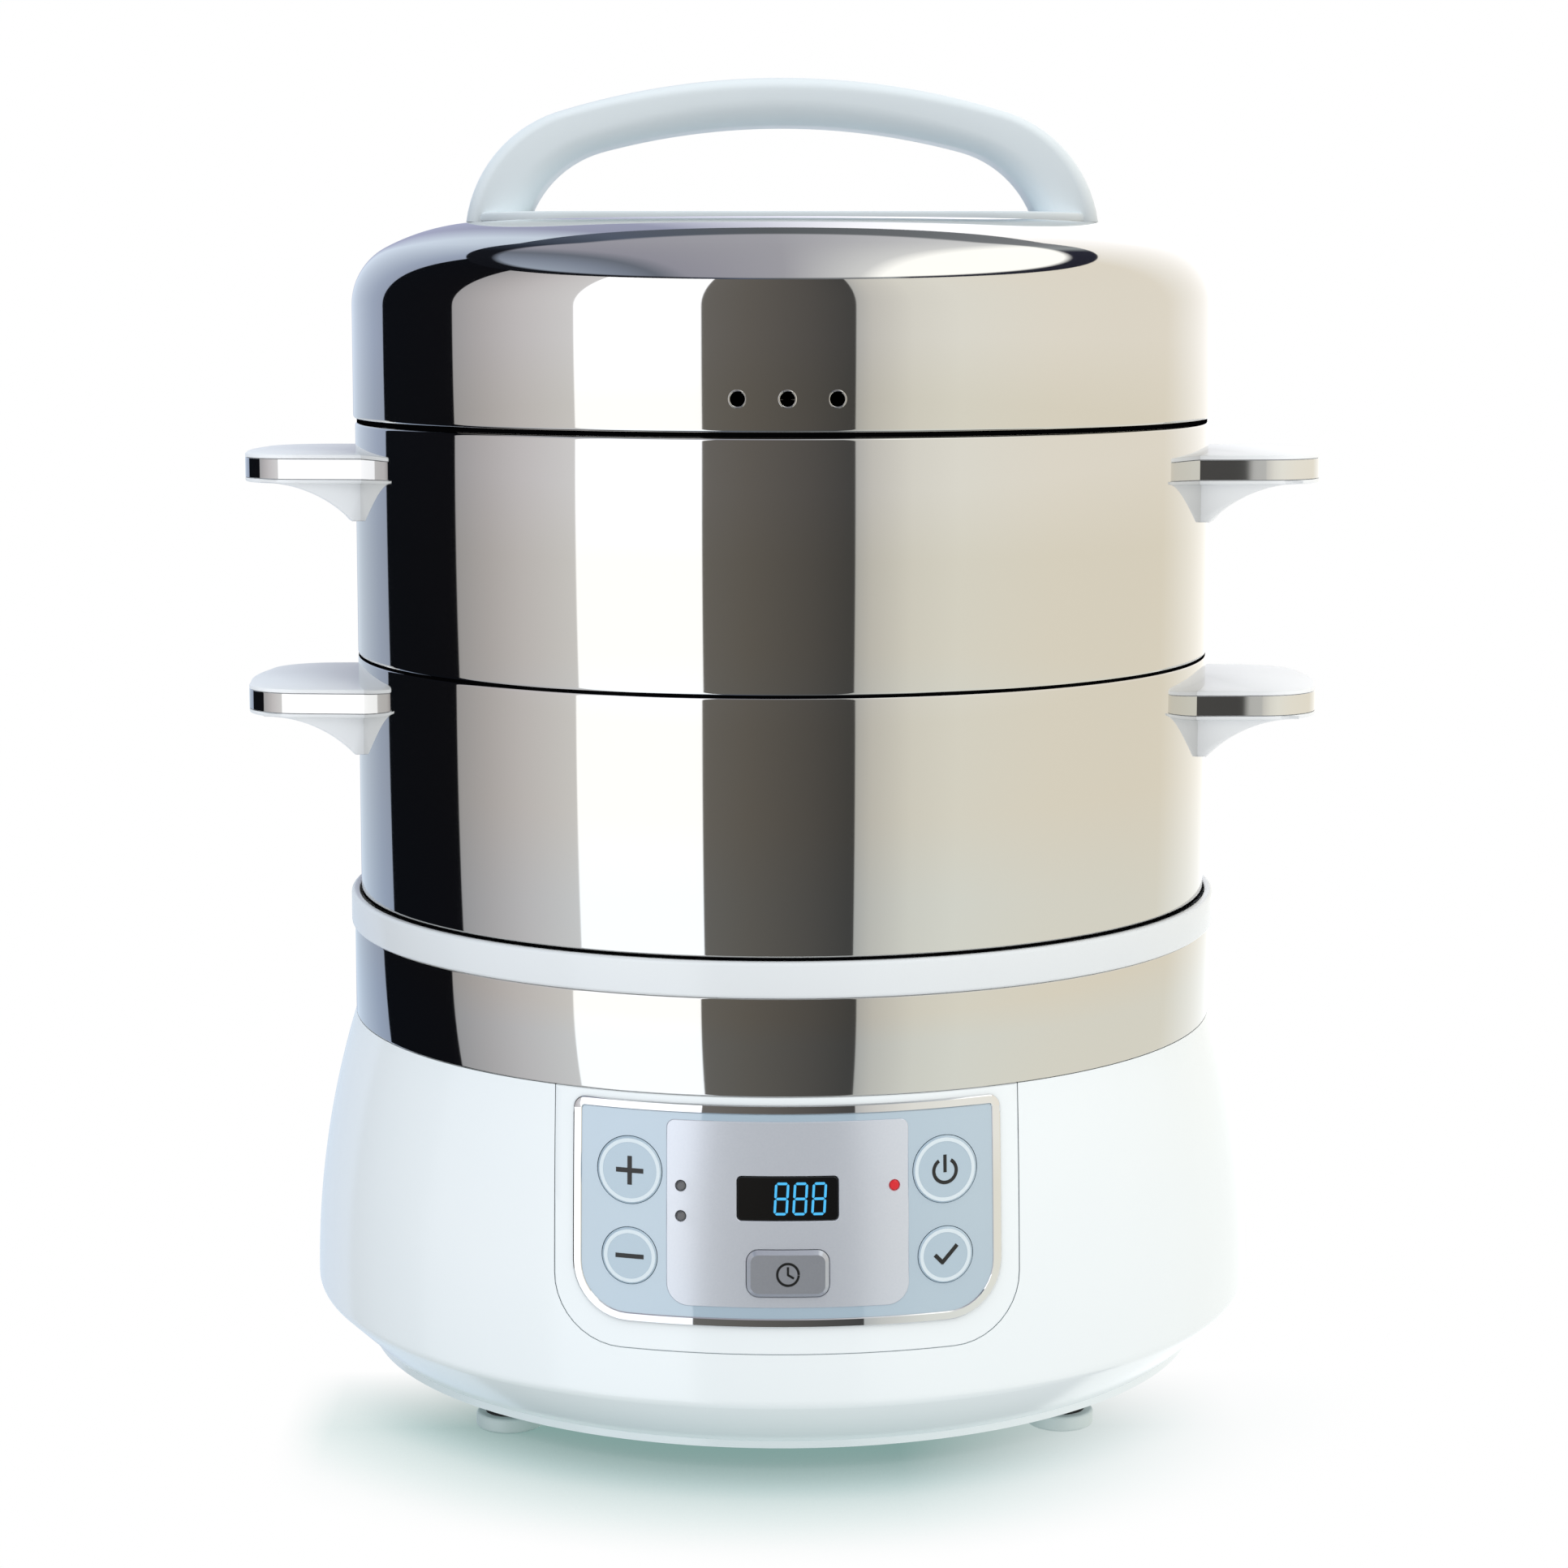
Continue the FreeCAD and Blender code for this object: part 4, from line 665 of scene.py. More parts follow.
top_angle = flare_angle(0.0, HOUSING_TOP)
inner_top = HOUSING_TOP - HOUSING_WALL
inner_low = COVER_TOP + HOUSING_WALL
inner_angle = flare_angle(-HOUSING_WALL, inner_top)
housing_outline = [(COVER_LEDGE, COVER_TOP)]
housing_outline += bend(BOTTOM_RADIUS - BOTTOM_ROUND, COVER_TOP + BOTTOM_ROUND, BOTTOM_ROUND, -90, -45, 3)
housing_outline += bend(BELLY_RADIUS - BELLY_ROUND, BELLY_HEIGHT, BELLY_ROUND, -45, 0, 8)
housing_outline += bend(flare_at, BELLY_HEIGHT, FLARE, 0, top_angle, 40)[1:]
housing_outline += [(TOP_LEDGE, HOUSING_TOP), (TOP_LEDGE, inner_top)]
housing_outline += bend(flare_at, BELLY_HEIGHT, FLARE - HOUSING_WALL, inner_angle, 0, 20)
housing_outline += [(BOTTOM_INNER, inner_low), (COVER_LEDGE, inner_low)]

# %% Notch for the panel
INSERT_HALF = 59.4 * MM
INSERT_BOTTOM = 37.8 * MM
INSERT_CORNER = 17.0 * MM
SEAM = 0.15 * MM
NOTCH_NEAR = 95 * MM
NOTCH_FAR = 150 * MM
SHARP = 0.02 * MM


def rounded(half, low, high, low_corner, high_corner, inset=0.0, steps=10):
    """A rounded outline in (x, z), anticlockwise, its edge moved in by an inset."""
    half -= inset
    low += inset
    high -= inset
    corners = [(half, high, high_corner, 0), (-half, high, high_corner, 90),
               (-half, low, low_corner, 180), (half, low, low_corner, 270)]
    places = []
    for x, z, corner, start in corners:
        corner = max(corner - inset, SHARP)
        across = x - math.copysign(corner, x)
        up = z - corner if start < 180 else z + corner
        places += bend(across, up, corner, start, start + 90, steps)
    return places


def tube_faces(rows, count):
    """Ends and sides of a closed solid through rows of points, each row with the same count."""
    faces = [list(range(count)), list(range((rows - 1) * count, rows * count))[::-1]]
    for row in range(rows - 1):
        here = row * count
        there = here + count
        for index in range(count):
            after = (index + 1) % count
            faces.append([here + index, there + index, there + after, here + after])
    return faces


def prism_cutter(name, places, near, far):
    """A closed prism of an (x, z) outline between two distances in front of the axis."""
    points = [(x, -depth, z) for depth in (near, far) for x, z in places]
    made = piece_from(name, points, tube_faces(2, len(places)), "white")
    face_outward(made.data)
    return made


housing_piece = lathe("flared_housing", housing_outline, "white")
notch_top = HOUSING_TOP + INSERT_CORNER * 2
notch = rounded(INSERT_HALF, INSERT_BOTTOM, notch_top, INSERT_CORNER, INSERT_CORNER, -SEAM)
notch_cutter = prism_cutter("notch_cutter", notch, NOTCH_NEAR, NOTCH_FAR)
carve(housing_piece, [notch_cutter], housing_outline, "white")
stands_for(housing_piece, "base_housing")

# %% [markdown]
# ## Feet
# Four soft pads carry the base, each under a dark rubber collar that hides in the shade of the bottom
# cover. The pads' pale tone is partly a painted highlight, for the bright glow of the floor round each
# foot. They could be copied by hand, but the set-out tree needs only the four places.

# %% Feet
FOOT_RADIUS = 9.0 * MM
PAD_HEIGHT = 4.0 * MM
PAD_ROUND = 0.8 * MM
COLLAR_RADIUS = 6.5 * MM
COLLAR_LOW = PAD_HEIGHT * 0.8
FOOT_STEPS = 48
foot_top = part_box("feet")[1].z
foot_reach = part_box("feet")[1].x - FOOT_RADIUS
foot_places = [(x, y, 0.0) for x in (-foot_reach, foot_reach) for y in (-foot_reach, foot_reach)]
pad_outline = [(0.0, 0.0)]
pad_outline += bend(FOOT_RADIUS - PAD_ROUND, PAD_ROUND, PAD_ROUND, -90, 0, 4)
pad_outline += bend(FOOT_RADIUS - PAD_ROUND, PAD_HEIGHT - PAD_ROUND, PAD_ROUND, 0, 90, 4)
pad_outline += [(0.0, PAD_HEIGHT)]
collar_outline = [(0.0, COLLAR_LOW), (COLLAR_RADIUS, COLLAR_LOW), (COLLAR_RADIUS, foot_top), (0.0, foot_top)]
foot_pad = lathe("foot_pad", pad_outline, "pad", FOOT_STEPS)
stands_for(set_out("foot_pads", foot_pad, foot_places, "pad"), "feet")
foot_collar = lathe("foot_collar", collar_outline, "rubber", FOOT_STEPS)
rides_with(set_out("foot_collars", foot_collar, foot_places, "rubber"), "feet")

# %% [markdown]
# ## Drip tray
# The tray is one moulding: a rim that stands on the steel band and shows as the white ring, a gutter
# inside it and a raised lip round the hole for the steam. Its outline goes round all of that once, so one
# turn makes it.

# %% Drip tray
TRAY_RADIUS = 122.8 * MM
TRAY_WALL = 2.4 * MM
TRAY_ROUND = 1.0 * MM
TRAY_LIP_ROUND = 0.5 * MM
GUTTER_ROUND = 1.2 * MM
GUTTER = 96.0 * MM
STEAM_HOLE = 38.0 * MM
gutter_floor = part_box("drip_tray")[0].z
tray_inner = TRAY_RADIUS - TRAY_WALL
gutter_inner = GUTTER - TRAY_WALL
ledge_top = BAND_TOP + TRAY_WALL
floor_top = gutter_floor + TRAY_WALL
tray_outline = [(STEAM_HOLE, gutter_floor)]
tray_outline += bend(GUTTER - TRAY_ROUND, gutter_floor + TRAY_ROUND, TRAY_ROUND, -90, 0, 4)
tray_outline += [(GUTTER, BAND_TOP)]
tray_outline += bend(TRAY_RADIUS - TRAY_ROUND, BAND_TOP + TRAY_ROUND, TRAY_ROUND, -90, 0, 5)
tray_outline += bend(TRAY_RADIUS - TRAY_ROUND, TRAY_TOP - TRAY_ROUND, TRAY_ROUND, 0, 90, 5)
tray_outline += bend(tray_inner + TRAY_LIP_ROUND, TRAY_TOP - TRAY_LIP_ROUND, TRAY_LIP_ROUND, 90, 180, 3)
tray_outline += [(tray_inner, ledge_top)]
tray_outline += bend(gutter_inner + GUTTER_ROUND, ledge_top - GUTTER_ROUND, GUTTER_ROUND, 90, 180, 4)
tray_outline += [(gutter_inner, floor_top), (STEAM_HOLE + TRAY_WALL, floor_top)]
tray_outline += bend(STEAM_HOLE + TRAY_WALL / 2, BAND_TOP - TRAY_WALL / 2, TRAY_WALL / 2, 0, 180, 6)
stands_for(lathe("tray_ring", tray_outline, "tray"), "drip_tray")

# %% [markdown]
# ## Panel pieces on the flared wall
# Every panel piece is drawn flat in x and z and then carried onto the flared wall, some lift above it. A
# constrained triangulation fills the outline, with extra points inside so that the wall's curve shows. A
# Shrinkwrap modifier could lay flat pieces on the wall too, but here the lift of every layer is exact.

# %% Panel helpers
GRID = 3.0 * MM
EDGE_STEP = 1.5 * MM


def on_wall(x, z, lift):
    """The point of the flared wall in front of (x, z), lifted off it."""
    radius = flare_at + math.sqrt((FLARE + lift) ** 2 - (z - BELLY_HEIGHT) ** 2)
    return (x, -math.sqrt(radius**2 - x**2), z)


def inside(place, outline):
    """Whether a flat point lies inside an outline."""
    x, z = place
    hit = False
    for (ax, az), (bx, bz) in zip(outline, outline[1:] + outline[:1]):
        if (az > z) != (bz > z) and x < (bx - ax) * (z - az) / (bz - az) + ax:
            hit = not hit
    return hit


def edge_counts(places):
    """How many short steps each side of an outline needs to follow the curved wall."""
    return [max(1, math.ceil(math.dist(a, b) / EDGE_STEP)) for a, b in zip(places, places[1:] + places[:1])]


def divided(places, counts):
    """The outline with each side cut into its own number of steps."""
    fine = []
    for (ax, az), (bx, bz), count in zip(places, places[1:] + places[:1], counts):
        fine += [(ax + (bx - ax) * step / count, az + (bz - az) * step / count) for step in range(count)]
    return fine


def patch(name, outer, holes, low, high, finish, edge=0.0):
    """A thin piece on the wall between two lifts.

    outer and each of holes are functions of an inset that give an outline; edge is the width of the
    soft edge round the top.
    """
    rims = [outer] + [lambda inset, hole=hole: hole(-inset) for hole in holes]
    counts = [edge_counts(rim(0.0)) for rim in rims]
    tops = [divided(rim(edge), steps) for rim, steps in zip(rims, counts)]
    flat = [place for top in tops for place in top]
    borders = []
    start = 0
    for top in tops:
        borders += [(start + index, start + (index + 1) % len(top)) for index in range(len(top))]
        start += len(top)
    xs = [x for x, _ in tops[0]]
    zs = [z for _, z in tops[0]]
    across = np.arange(min(xs) + GRID / 2, max(xs), GRID)
    up = np.arange(min(zs) + GRID / 2, max(zs), GRID)
    for x in across:
        for z in up:
            if inside((x, z), tops[0]) and not any(inside((x, z), top) for top in tops[1:]):
                flat.append((x, z))
    filled = delaunay_2d_cdt([Vector(place) for place in flat], borders, [], 0, 1e-7)
    spots, _, triangles, origins = filled[:4]
    points = [on_wall(x, z, high) for x, z in spots]
    faces = []
    for triangle in triangles:
        middle = sum((spots[index] for index in triangle), Vector((0, 0))) / 3
        if inside(middle, tops[0]) and not any(inside(middle, top) for top in tops[1:]):
            faces.append(list(triangle))
    made_from = {origin: index for index, group in enumerate(origins) for origin in group}
    start = 0
    for number, rim in enumerate(rims):
        count = len(tops[number])
        levels = [[made_from[start + index] for index in range(count)]]
        for lift in ([high - edge, low] if edge else [low]):
            levels.append(list(range(len(points), len(points) + count)))
            points += [on_wall(x, z, lift) for x, z in divided(rim(0.0), counts[number])]
        for upper, lower in zip(levels, levels[1:]):
            for index in range(count):
                after = (index + 1) % count
                quad = [upper[index], lower[index], lower[after], upper[after]]
                faces.append(quad if number == 0 else quad[::-1])
        start += count
    return piece_from(name, points, faces, finish)


def circle(x, z, radius, steps=56):
    """An outline function for a circle."""
    def outline(inset):
        return bend(x, z, radius - inset, 0, 360 - 360 / steps, steps - 1)
    return outline


def frame_outline(half, low, high, low_corner, high_corner):
    """An outline function for a rounded panel shape."""
    def outline(inset):
        return rounded(half, low, high, low_corner, high_corner, inset)
    return outline


def centred(x, z, half, height, corner):
    """An outline function for a rounded shape about a centre."""
    def outline(inset):
        shape = rounded(half, -height / 2, height / 2, corner, corner, inset)
        return [(x + across, z + up) for across, up in shape]
    return outline


# %% [markdown]
# ## Insert, trim, overlay and centre plate
# The white insert closes the notch. On it lie a bright border, a blue-grey film and a silver plate, each
# a fraction of a millimetre thick. Holes in them clear the buttons, lamps and display. They are separate
# layers and not one printed picture, because on the real panel each edge catches its own line of light.

# %% Places on the panel
TRIM_HALF = 54.6 * MM
TRIM_LOW = 44.8 * MM
TRIM_HIGH = HOUSING_TOP - 1.8 * MM
TRIM_WIDTH = 2.2 * MM
TRIM_CORNER = 14.0 * MM
TRIM_TOP_CORNER = 3.0 * MM
PLATE_HALF = 30.6 * MM
PLATE_LOW = 49.8 * MM
PLATE_HIGH = 95.4 * MM
PLATE_CORNER = 5.5 * MM
PLATE_TOP_CORNER = 2.0 * MM
RUNNING = 0.15 * MM
BUTTON_X = 40.0 * MM
BUTTON_HIGH = 82.4 * MM
BUTTON_LOW = 61.3 * MM
LARGE = 8.2 * MM
SMALL = 7.0 * MM
BUTTONS = {
    "plus_button": (-BUTTON_X, BUTTON_HIGH, LARGE),
    "minus_button": (-BUTTON_X, BUTTON_LOW, SMALL),
    "power_button": (BUTTON_X, BUTTON_HIGH, LARGE),
    "set_button": (BUTTON_X, BUTTON_LOW, SMALL),
}
DELAY_Z = 58.4 * MM
DELAY_HALF = 10.4 * MM
DELAY_HEIGHT = 11.6 * MM
DELAY_CORNER = 3.0 * MM
DISPLAY_Z = 76.8 * MM
WINDOW_HALF = 12.75 * MM
WINDOW_HEIGHT = 10.7 * MM
WINDOW_CORNER = 1.2 * MM
WINDOW_GAP = 0.15 * MM
WINDOW_HOLE_CORNER = 1.3 * MM
LAMP_X = 27.0 * MM
LAMP_HIGH = 79.4 * MM
LAMP_LOW = 72.0 * MM
LAMP_RADIUS = 1.2 * MM
LAMP_STEPS = 24
lamp_places = [(-LAMP_X, LAMP_HIGH), (-LAMP_X, LAMP_LOW), (LAMP_X, LAMP_HIGH)]
print("panel places:", len(BUTTONS) + 1, "buttons", len(lamp_places), "lamps")

# %% Panel layers
GLUE = 0.05 * MM
INSERT_TOP_CORNER = 0.3 * MM
INSERT_EDGE = 0.25 * MM
button_holes = [circle(x, z, radius + RUNNING) for x, z, radius in BUTTONS.values()]
lamp_holes = [circle(x, z, LAMP_RADIUS + RUNNING, LAMP_STEPS) for x, z in lamp_places]
delay_hole = centred(0.0, DELAY_Z, DELAY_HALF + RUNNING, DELAY_HEIGHT + 2 * RUNNING, DELAY_CORNER + RUNNING)
display_hole = centred(
    0.0, DISPLAY_Z, WINDOW_HALF + WINDOW_GAP, WINDOW_HEIGHT + 2 * WINDOW_GAP, WINDOW_HOLE_CORNER)
centre_holes = [delay_hole, display_hole] + lamp_holes
plate_outline = frame_outline(PLATE_HALF, PLATE_LOW, PLATE_HIGH, PLATE_CORNER, PLATE_TOP_CORNER)
trim_outer = frame_outline(TRIM_HALF, TRIM_LOW, TRIM_HIGH, TRIM_CORNER, TRIM_TOP_CORNER)
insert_outline = frame_outline(INSERT_HALF, INSERT_BOTTOM, HOUSING_TOP, INSERT_CORNER, INSERT_TOP_CORNER)


def trim_inner(inset):
    """An outline function for the inner edge of the bright border."""
    return trim_outer(TRIM_WIDTH + inset)


# Each layer: its piece, its outline and holes, its lower and upper lift, its finish and its soft edge.
PANEL_LAYERS = {
    "panel_insert": ("panel_insert_skin", insert_outline, button_holes + centre_holes,
                     -HOUSING_WALL, 0.0, "white", INSERT_EDGE),
    "panel_trim": ("panel_border", trim_outer, [trim_inner], GLUE, 0.7 * MM, "chrome", 0.25 * MM),
    "panel_overlay": ("panel_film", trim_inner, button_holes + [plate_outline],
                      GLUE, 0.5 * MM, "film", 0.05 * MM),
    "centre_plate": ("silver_panel", plate_outline, centre_holes, GLUE, 0.65 * MM, "silver", 0.15 * MM),
}
for node, layer in PANEL_LAYERS.items():
    stands_for(patch(*layer), node)

# %% [markdown]
# ## Buttons
# Each button is a cap on its own body, so that it can be pressed, with a pale ring and a plain sign
# printed on it. The signs could be a picture on the cap, but thin raised strokes stay sharp at any
# distance.

# %% Printed marks
INK = 0.06 * MM


def stroke(start, end, width):
    """An outline function for a straight stroke with square ends."""
    (ax, az), (bx, bz) = start, end
    length = math.hypot(bx - ax, bz - az)
    across = ((az - bz) / length * width / 2, (bx - ax) / length * width / 2)
    corners = [(ax - across[0], az - across[1]), (bx - across[0], bz - across[1]),
               (bx + across[0], bz + across[1]), (ax + across[0], az + across[1])]
    return lambda inset: corners


def arc_stroke(x, z, radius, width, start, end, steps=40):
    """An outline function for a curved stroke."""
    outer = bend(x, z, radius + width / 2, start, end, steps)
    inner = bend(x, z, radius - width / 2, end, start, steps)
    return lambda inset: outer + inner


def print_marks(name, outlines, lift, finish, node):
    """Flat printed marks on one piece, joined into one mesh."""
    join = bmesh.new()
    for index, outline in enumerate(outlines):
        mark = patch(f"{name}_{index}", outline, [], lift - INK, lift + INK, finish)
        join.from_mesh(mark.data)
        bpy.data.objects.remove(mark)
    mesh = bpy.data.meshes.new(name)
    join.to_mesh(mesh)
    join.free()
    print(name, len(outlines), "marks on", node)
    return rides_with(linked(name, smoothed(mesh, finish)), node)


# The straight strokes of each sign about its button's centre, in millimetres: start, end and width.
SIGN_STROKES = {
    "plus": [((-3.5, 0), (3.5, 0), 1.15), ((0, 0.575), (0, 3.5), 1.15), ((0, -3.5), (0, -0.575), 1.15)],
    "minus": [((-3.6, 0), (3.6, 0), 1.1)],
    "power": [((0, -0.7), (0, 3.6), 0.85)],
    "set": [((-2.7, 0.2), (-0.6, -2.0), 1.0), ((-1.0, -2.0), (3.0, 2.3), 1.0)],
    "delay": [((0, -0.2), (0, 1.9), 0.55), ((-0.1, 0), (1.5, -0.9), 0.55)],
}
# The arc of a sign: how far its centre is raised, its radius and width, and where it starts and ends.
SIGN_ARCS = {"power": (-0.3, 2.9, 0.85, 122, 418), "delay": (0.0, 2.7, 0.6, 0, 357)}


def sign_outlines(sign, x, z):
    """The outlines of a sign about its button's centre."""
    outlines = []
    if sign in SIGN_ARCS:
        raised, radius, width, start, end = SIGN_ARCS[sign]
        outlines.append(arc_stroke(x, z + raised * MM, radius * MM, width * MM, start, end))
    for (ax, az), (bx, bz), width in SIGN_STROKES[sign]:
        outlines.append(stroke((x + ax * MM, z + az * MM), (x + bx * MM, z + bz * MM), width * MM))
    return outlines


# %% Buttons
CAP_LIFT = 0.95 * MM
CAP_DEPTH = 6.0 * MM
CAP_EDGE = 0.35 * MM
RING_INSET = 0.45 * MM
RING_WIDTH = 0.9 * MM
DELAY_LIFT = 1.6 * MM
DELAY_EDGE = 1.0 * MM
for node, (x, z, radius) in BUTTONS.items():
    cap = patch(f"{node}_cap", circle(x, z, radius), [], -CAP_DEPTH, CAP_LIFT, "cap", CAP_EDGE)
    stands_for(cap, node)
    ring_out = radius - RING_INSET
    ring = patch(f"{node}_ring", circle(x, z, ring_out), [circle(x, z, ring_out - RING_WIDTH)],
                 CAP_LIFT - INK, CAP_LIFT + INK, "pale_ink")
    rides_with(ring, node)
for sign in ("plus", "minus", "power", "set"):
    x, z, _ = BUTTONS[f"{sign}_button"]
    print_marks(f"{sign}_sign", sign_outlines(sign, x, z), CAP_LIFT, "ink", f"{sign}_button")
delay_outline = centred(0.0, DELAY_Z, DELAY_HALF, DELAY_HEIGHT, DELAY_CORNER)
delay_cap = patch("delay_button_cap", delay_outline, [], -CAP_DEPTH, DELAY_LIFT, "delay", DELAY_EDGE)
stands_for(delay_cap, "delay_button")
print_marks("delay_sign", sign_outlines("delay", 0.0, DELAY_Z), DELAY_LIFT, "ink", "delay_button")

# %% [markdown]
# ## Lamps and display
# Three small lenses stand through the plate, and one of them is lit. The display is a smoked lens with
# three figures behind it. A font could write them, but seven bars in a slanted eight are what such a
# display has, each a slim hexagon.

# %% Lamps and display
LAMP_LIFT = 0.9 * MM
WINDOW_LIFT = 0.6 * MM
WINDOW_DEPTH = 2.0 * MM
WINDOW_EDGE = 0.2 * MM
lamps = []
for index, finish in enumerate(["lamp_off", "lamp_off", "lamp_red"]):
    lens = circle(*lamp_places[index], LAMP_RADIUS, LAMP_STEPS)
    lamps.append(patch(f"lamp_lens_{index}", lens, [], -CAP_DEPTH, LAMP_LIFT, finish, CAP_EDGE))
stands_for(lamps[0], "indicator_leds")
for lamp in lamps[1:]:
    rides_with(lamp, "indicator_leds")
window_outline = centred(0.0, DISPLAY_Z, WINDOW_HALF, WINDOW_HEIGHT, WINDOW_CORNER)
window = patch("display_lens", window_outline, [], -WINDOW_DEPTH, WINDOW_LIFT, "lens", WINDOW_EDGE)
stands_for(window, "display_window")

# %% Figures
DIGITS = 3
DIGIT_WIDTH = 3.0 * MM
DIGIT_HEIGHT = 7.4 * MM
DIGIT_STEP = 4.75 * MM
DIGIT_FIRST = -1.6 * MM
SEGMENT = 0.62 * MM
SEGMENT_GAP = 0.12 * MM
SLANT = 0.06


def segment(start, end):
    """A hexagonal bar of a figure, pointed at both ends."""
    (ax, az), (bx, bz) = start, end
    length = math.hypot(bx - ax, bz - az)
    ux, uz = (bx - ax) / length, (bz - az) / length
    point = SEGMENT / 2
    low, high = SEGMENT_GAP, length - SEGMENT_GAP
    corners = [(low, 0), (low + point, -1), (high - point, -1),
               (high, 0), (high - point, 1), (low + point, 1)]
    places = []
    for along, side in corners:
        places.append((ax + ux * along - uz * side * point, az + uz * along + ux * side * point))
    return places


def figure(x, z):
    """The seven bars of a figure about its centre."""
    half = DIGIT_WIDTH / 2
    tall = DIGIT_HEIGHT / 2
    bars = [((-half, tall), (half, tall)), ((-half, 0), (half, 0)), ((-half, -tall), (half, -tall))]
    bars += [((side * half, level), (side * half, level + tall)) for side in (-1, 1) for level in (-tall, 0)]
    outlines = []
    for start, end in bars:
        places = [(x + px + pz * SLANT, z + pz) for px, pz in segment(start, end)]
        outlines.append(lambda inset, places=places: places)
    return outlines


bars = [bar for index in range(DIGITS) for bar in figure(DIGIT_FIRST + index * DIGIT_STEP, DISPLAY_Z)]
print_marks("display_figures", bars, WINDOW_LIFT, "digit", "display_window")

# %% [markdown]
# ## Side handles
# A side handle is a rounded plate with a bright band let into its edge and a hollowed web under it. The
# plate is built from its outline seen from above, so the band follows the same line. A box with a Bevel
# modifier comes close, but it has no groove for the band and no hollow curve below.

# %% Side handles
HANDLE_HALF = 35.0 * MM
HANDLE_REACH = BASKET_RADIUS + 31.0 * MM
HANDLE_CORNER = 17.0 * MM
HANDLE_BULGE = 1.6 * MM
HANDLE_TAPER = math.radians(2.52)
HANDLE_TURN = math.radians(-1.74)
WALL_FACE = BASKET_RADIUS - 0.3 * MM
HANDLE_DROP = 8.3 * MM
HANDLE_LIP = 1.1 * MM
BAND_HEIGHT = 5.8 * MM
WEB_HALF = 33.5 * MM
WEB_REACH = HANDLE_REACH - 8.0 * MM
WEB_STEP = 2.6 * MM
WEB_DEPTH = 10.6 * MM
WEB_CURVE = 35.0 * MM
# A corner stops this many degrees short of the end, and the end's arc keeps this share of its sweep.
CORNER_STOP = 8
END_SHARE = 0.9
# Points near both ends of a straight side keep the reflection on it flat.
SIDE_SHARES = (0.0, 0.03, 0.5, 0.97)
# Where the middle of a soft edge lies, as a share of its size.
KNEE = 0.3


def wall_at(y):
    """How far out the basket wall lies at this distance along the handle."""
    return math.sqrt(WALL_FACE**2 - y**2)


def handle_outline(inset, steps=10):
    """A handle seen from above, pointing along +X: from its near root round its end, then along the wall."""
    corner = HANDLE_CORNER - inset
    end = HANDLE_REACH - HANDLE_BULGE - inset
    lean = math.degrees(HANDLE_TAPER)

    def half_at(x):
        return HANDLE_HALF - inset - (x - BASKET_RADIUS) * math.tan(HANDLE_TAPER)

    middle = end - corner
    turn_at = half_at(middle) - corner / math.cos(HANDLE_TAPER)
    sag = half_at(end) - corner
    radius = (sag**2 + HANDLE_BULGE**2) / (2 * HANDLE_BULGE)
    sweep = math.degrees(math.asin(sag / radius))
    root = half_at(wall_at(HANDLE_HALF))
    near_corner = bend(middle, -turn_at, corner, lean - 90, -CORNER_STOP, steps)
    start = Vector((wall_at(root), -root))
    flat_end = Vector(near_corner[0])
    near_side = [tuple(start.lerp(flat_end, share)) for share in SIDE_SHARES]
    places = near_side + near_corner
    places += bend(HANDLE_REACH - inset - radius, 0.0, radius, -sweep * END_SHARE, sweep * END_SHARE, 12)
    places += bend(middle, turn_at, corner, CORNER_STOP, 90 - lean, steps)
    places += [(x, -y) for x, y in reversed(near_side[1:])]
    back = [root - 2 * root * step / steps for step in range(steps)]
    return places + [(wall_at(y), y) for y in back]


def loft(levels):
    """Points and faces of a closed solid through outlines of equal length, each (outline, height)."""
    count = len(levels[0][0])
    points = [(x, y, z) for outline, z in levels for x, y in outline]
    faces = [list(range(count))[::-1]]
    for level in range(len(levels) - 1):
        here = level * count
        there = here + count
        for index in range(count):
            after = (index + 1) % count
            faces.append([here + index, here + after, there + after, there + index])
    faces.append(list(range((len(levels) - 1) * count, len(levels) * count)))
    return points, faces


def together(first, second):
    """The points and faces of two solids as one list of each."""
    offset = len(first[0])
    return first[0] + second[0], first[1] + [[index + offset for index in face] for face in second[1]]


# %% Web under a handle
WEB_SOFT = 0.9 * MM


def web(top, steps=16, across=8):
    """The hollowed web under the plate: a hollow curve from the plate down to a toe that follows the wall."""
    toe = wall_at(WEB_HALF) + WEB_STEP
    chord = Vector((toe - WEB_REACH, -WEB_DEPTH))
    away = Vector((-chord.y, chord.x)).normalized()
    centre = Vector((WEB_REACH, 0)) + chord / 2 + away * math.sqrt(WEB_CURVE**2 - (chord.length / 2) ** 2)
    first = math.degrees(math.atan2(-centre.y, WEB_REACH - centre.x))
    last = math.degrees(math.atan2(-WEB_DEPTH - centre.y, toe - centre.x))
    curve = [Vector(place) for place in bend(centre.x, centre.y, WEB_CURVE, first, last, steps)]
    ends = [(-WEB_HALF, WEB_SOFT), (WEB_SOFT * KNEE - WEB_HALF, WEB_SOFT * KNEE)]
    flat = WEB_HALF - WEB_SOFT
    rows = ends + [(2 * flat * step / across - flat, 0.0) for step in range(across + 1)]
    rows += [(-y, pull) for y, pull in reversed(ends)]
    points = []
    for y, pull in rows:
        wall = wall_at(y)
        follow = wall - wall_at(WEB_HALF)
        points.append((wall, y, top))
        for place in curve:
            moved = place - (centre - place).normalized() * pull
            share = (WEB_REACH - place.x) / (WEB_REACH - toe)
            points.append((moved.x + follow * share**2, y, top + moved.y))
        points.append((wall, y, top - WEB_DEPTH + pull))
    return points, tube_faces(len(rows), len(curve) + 2)


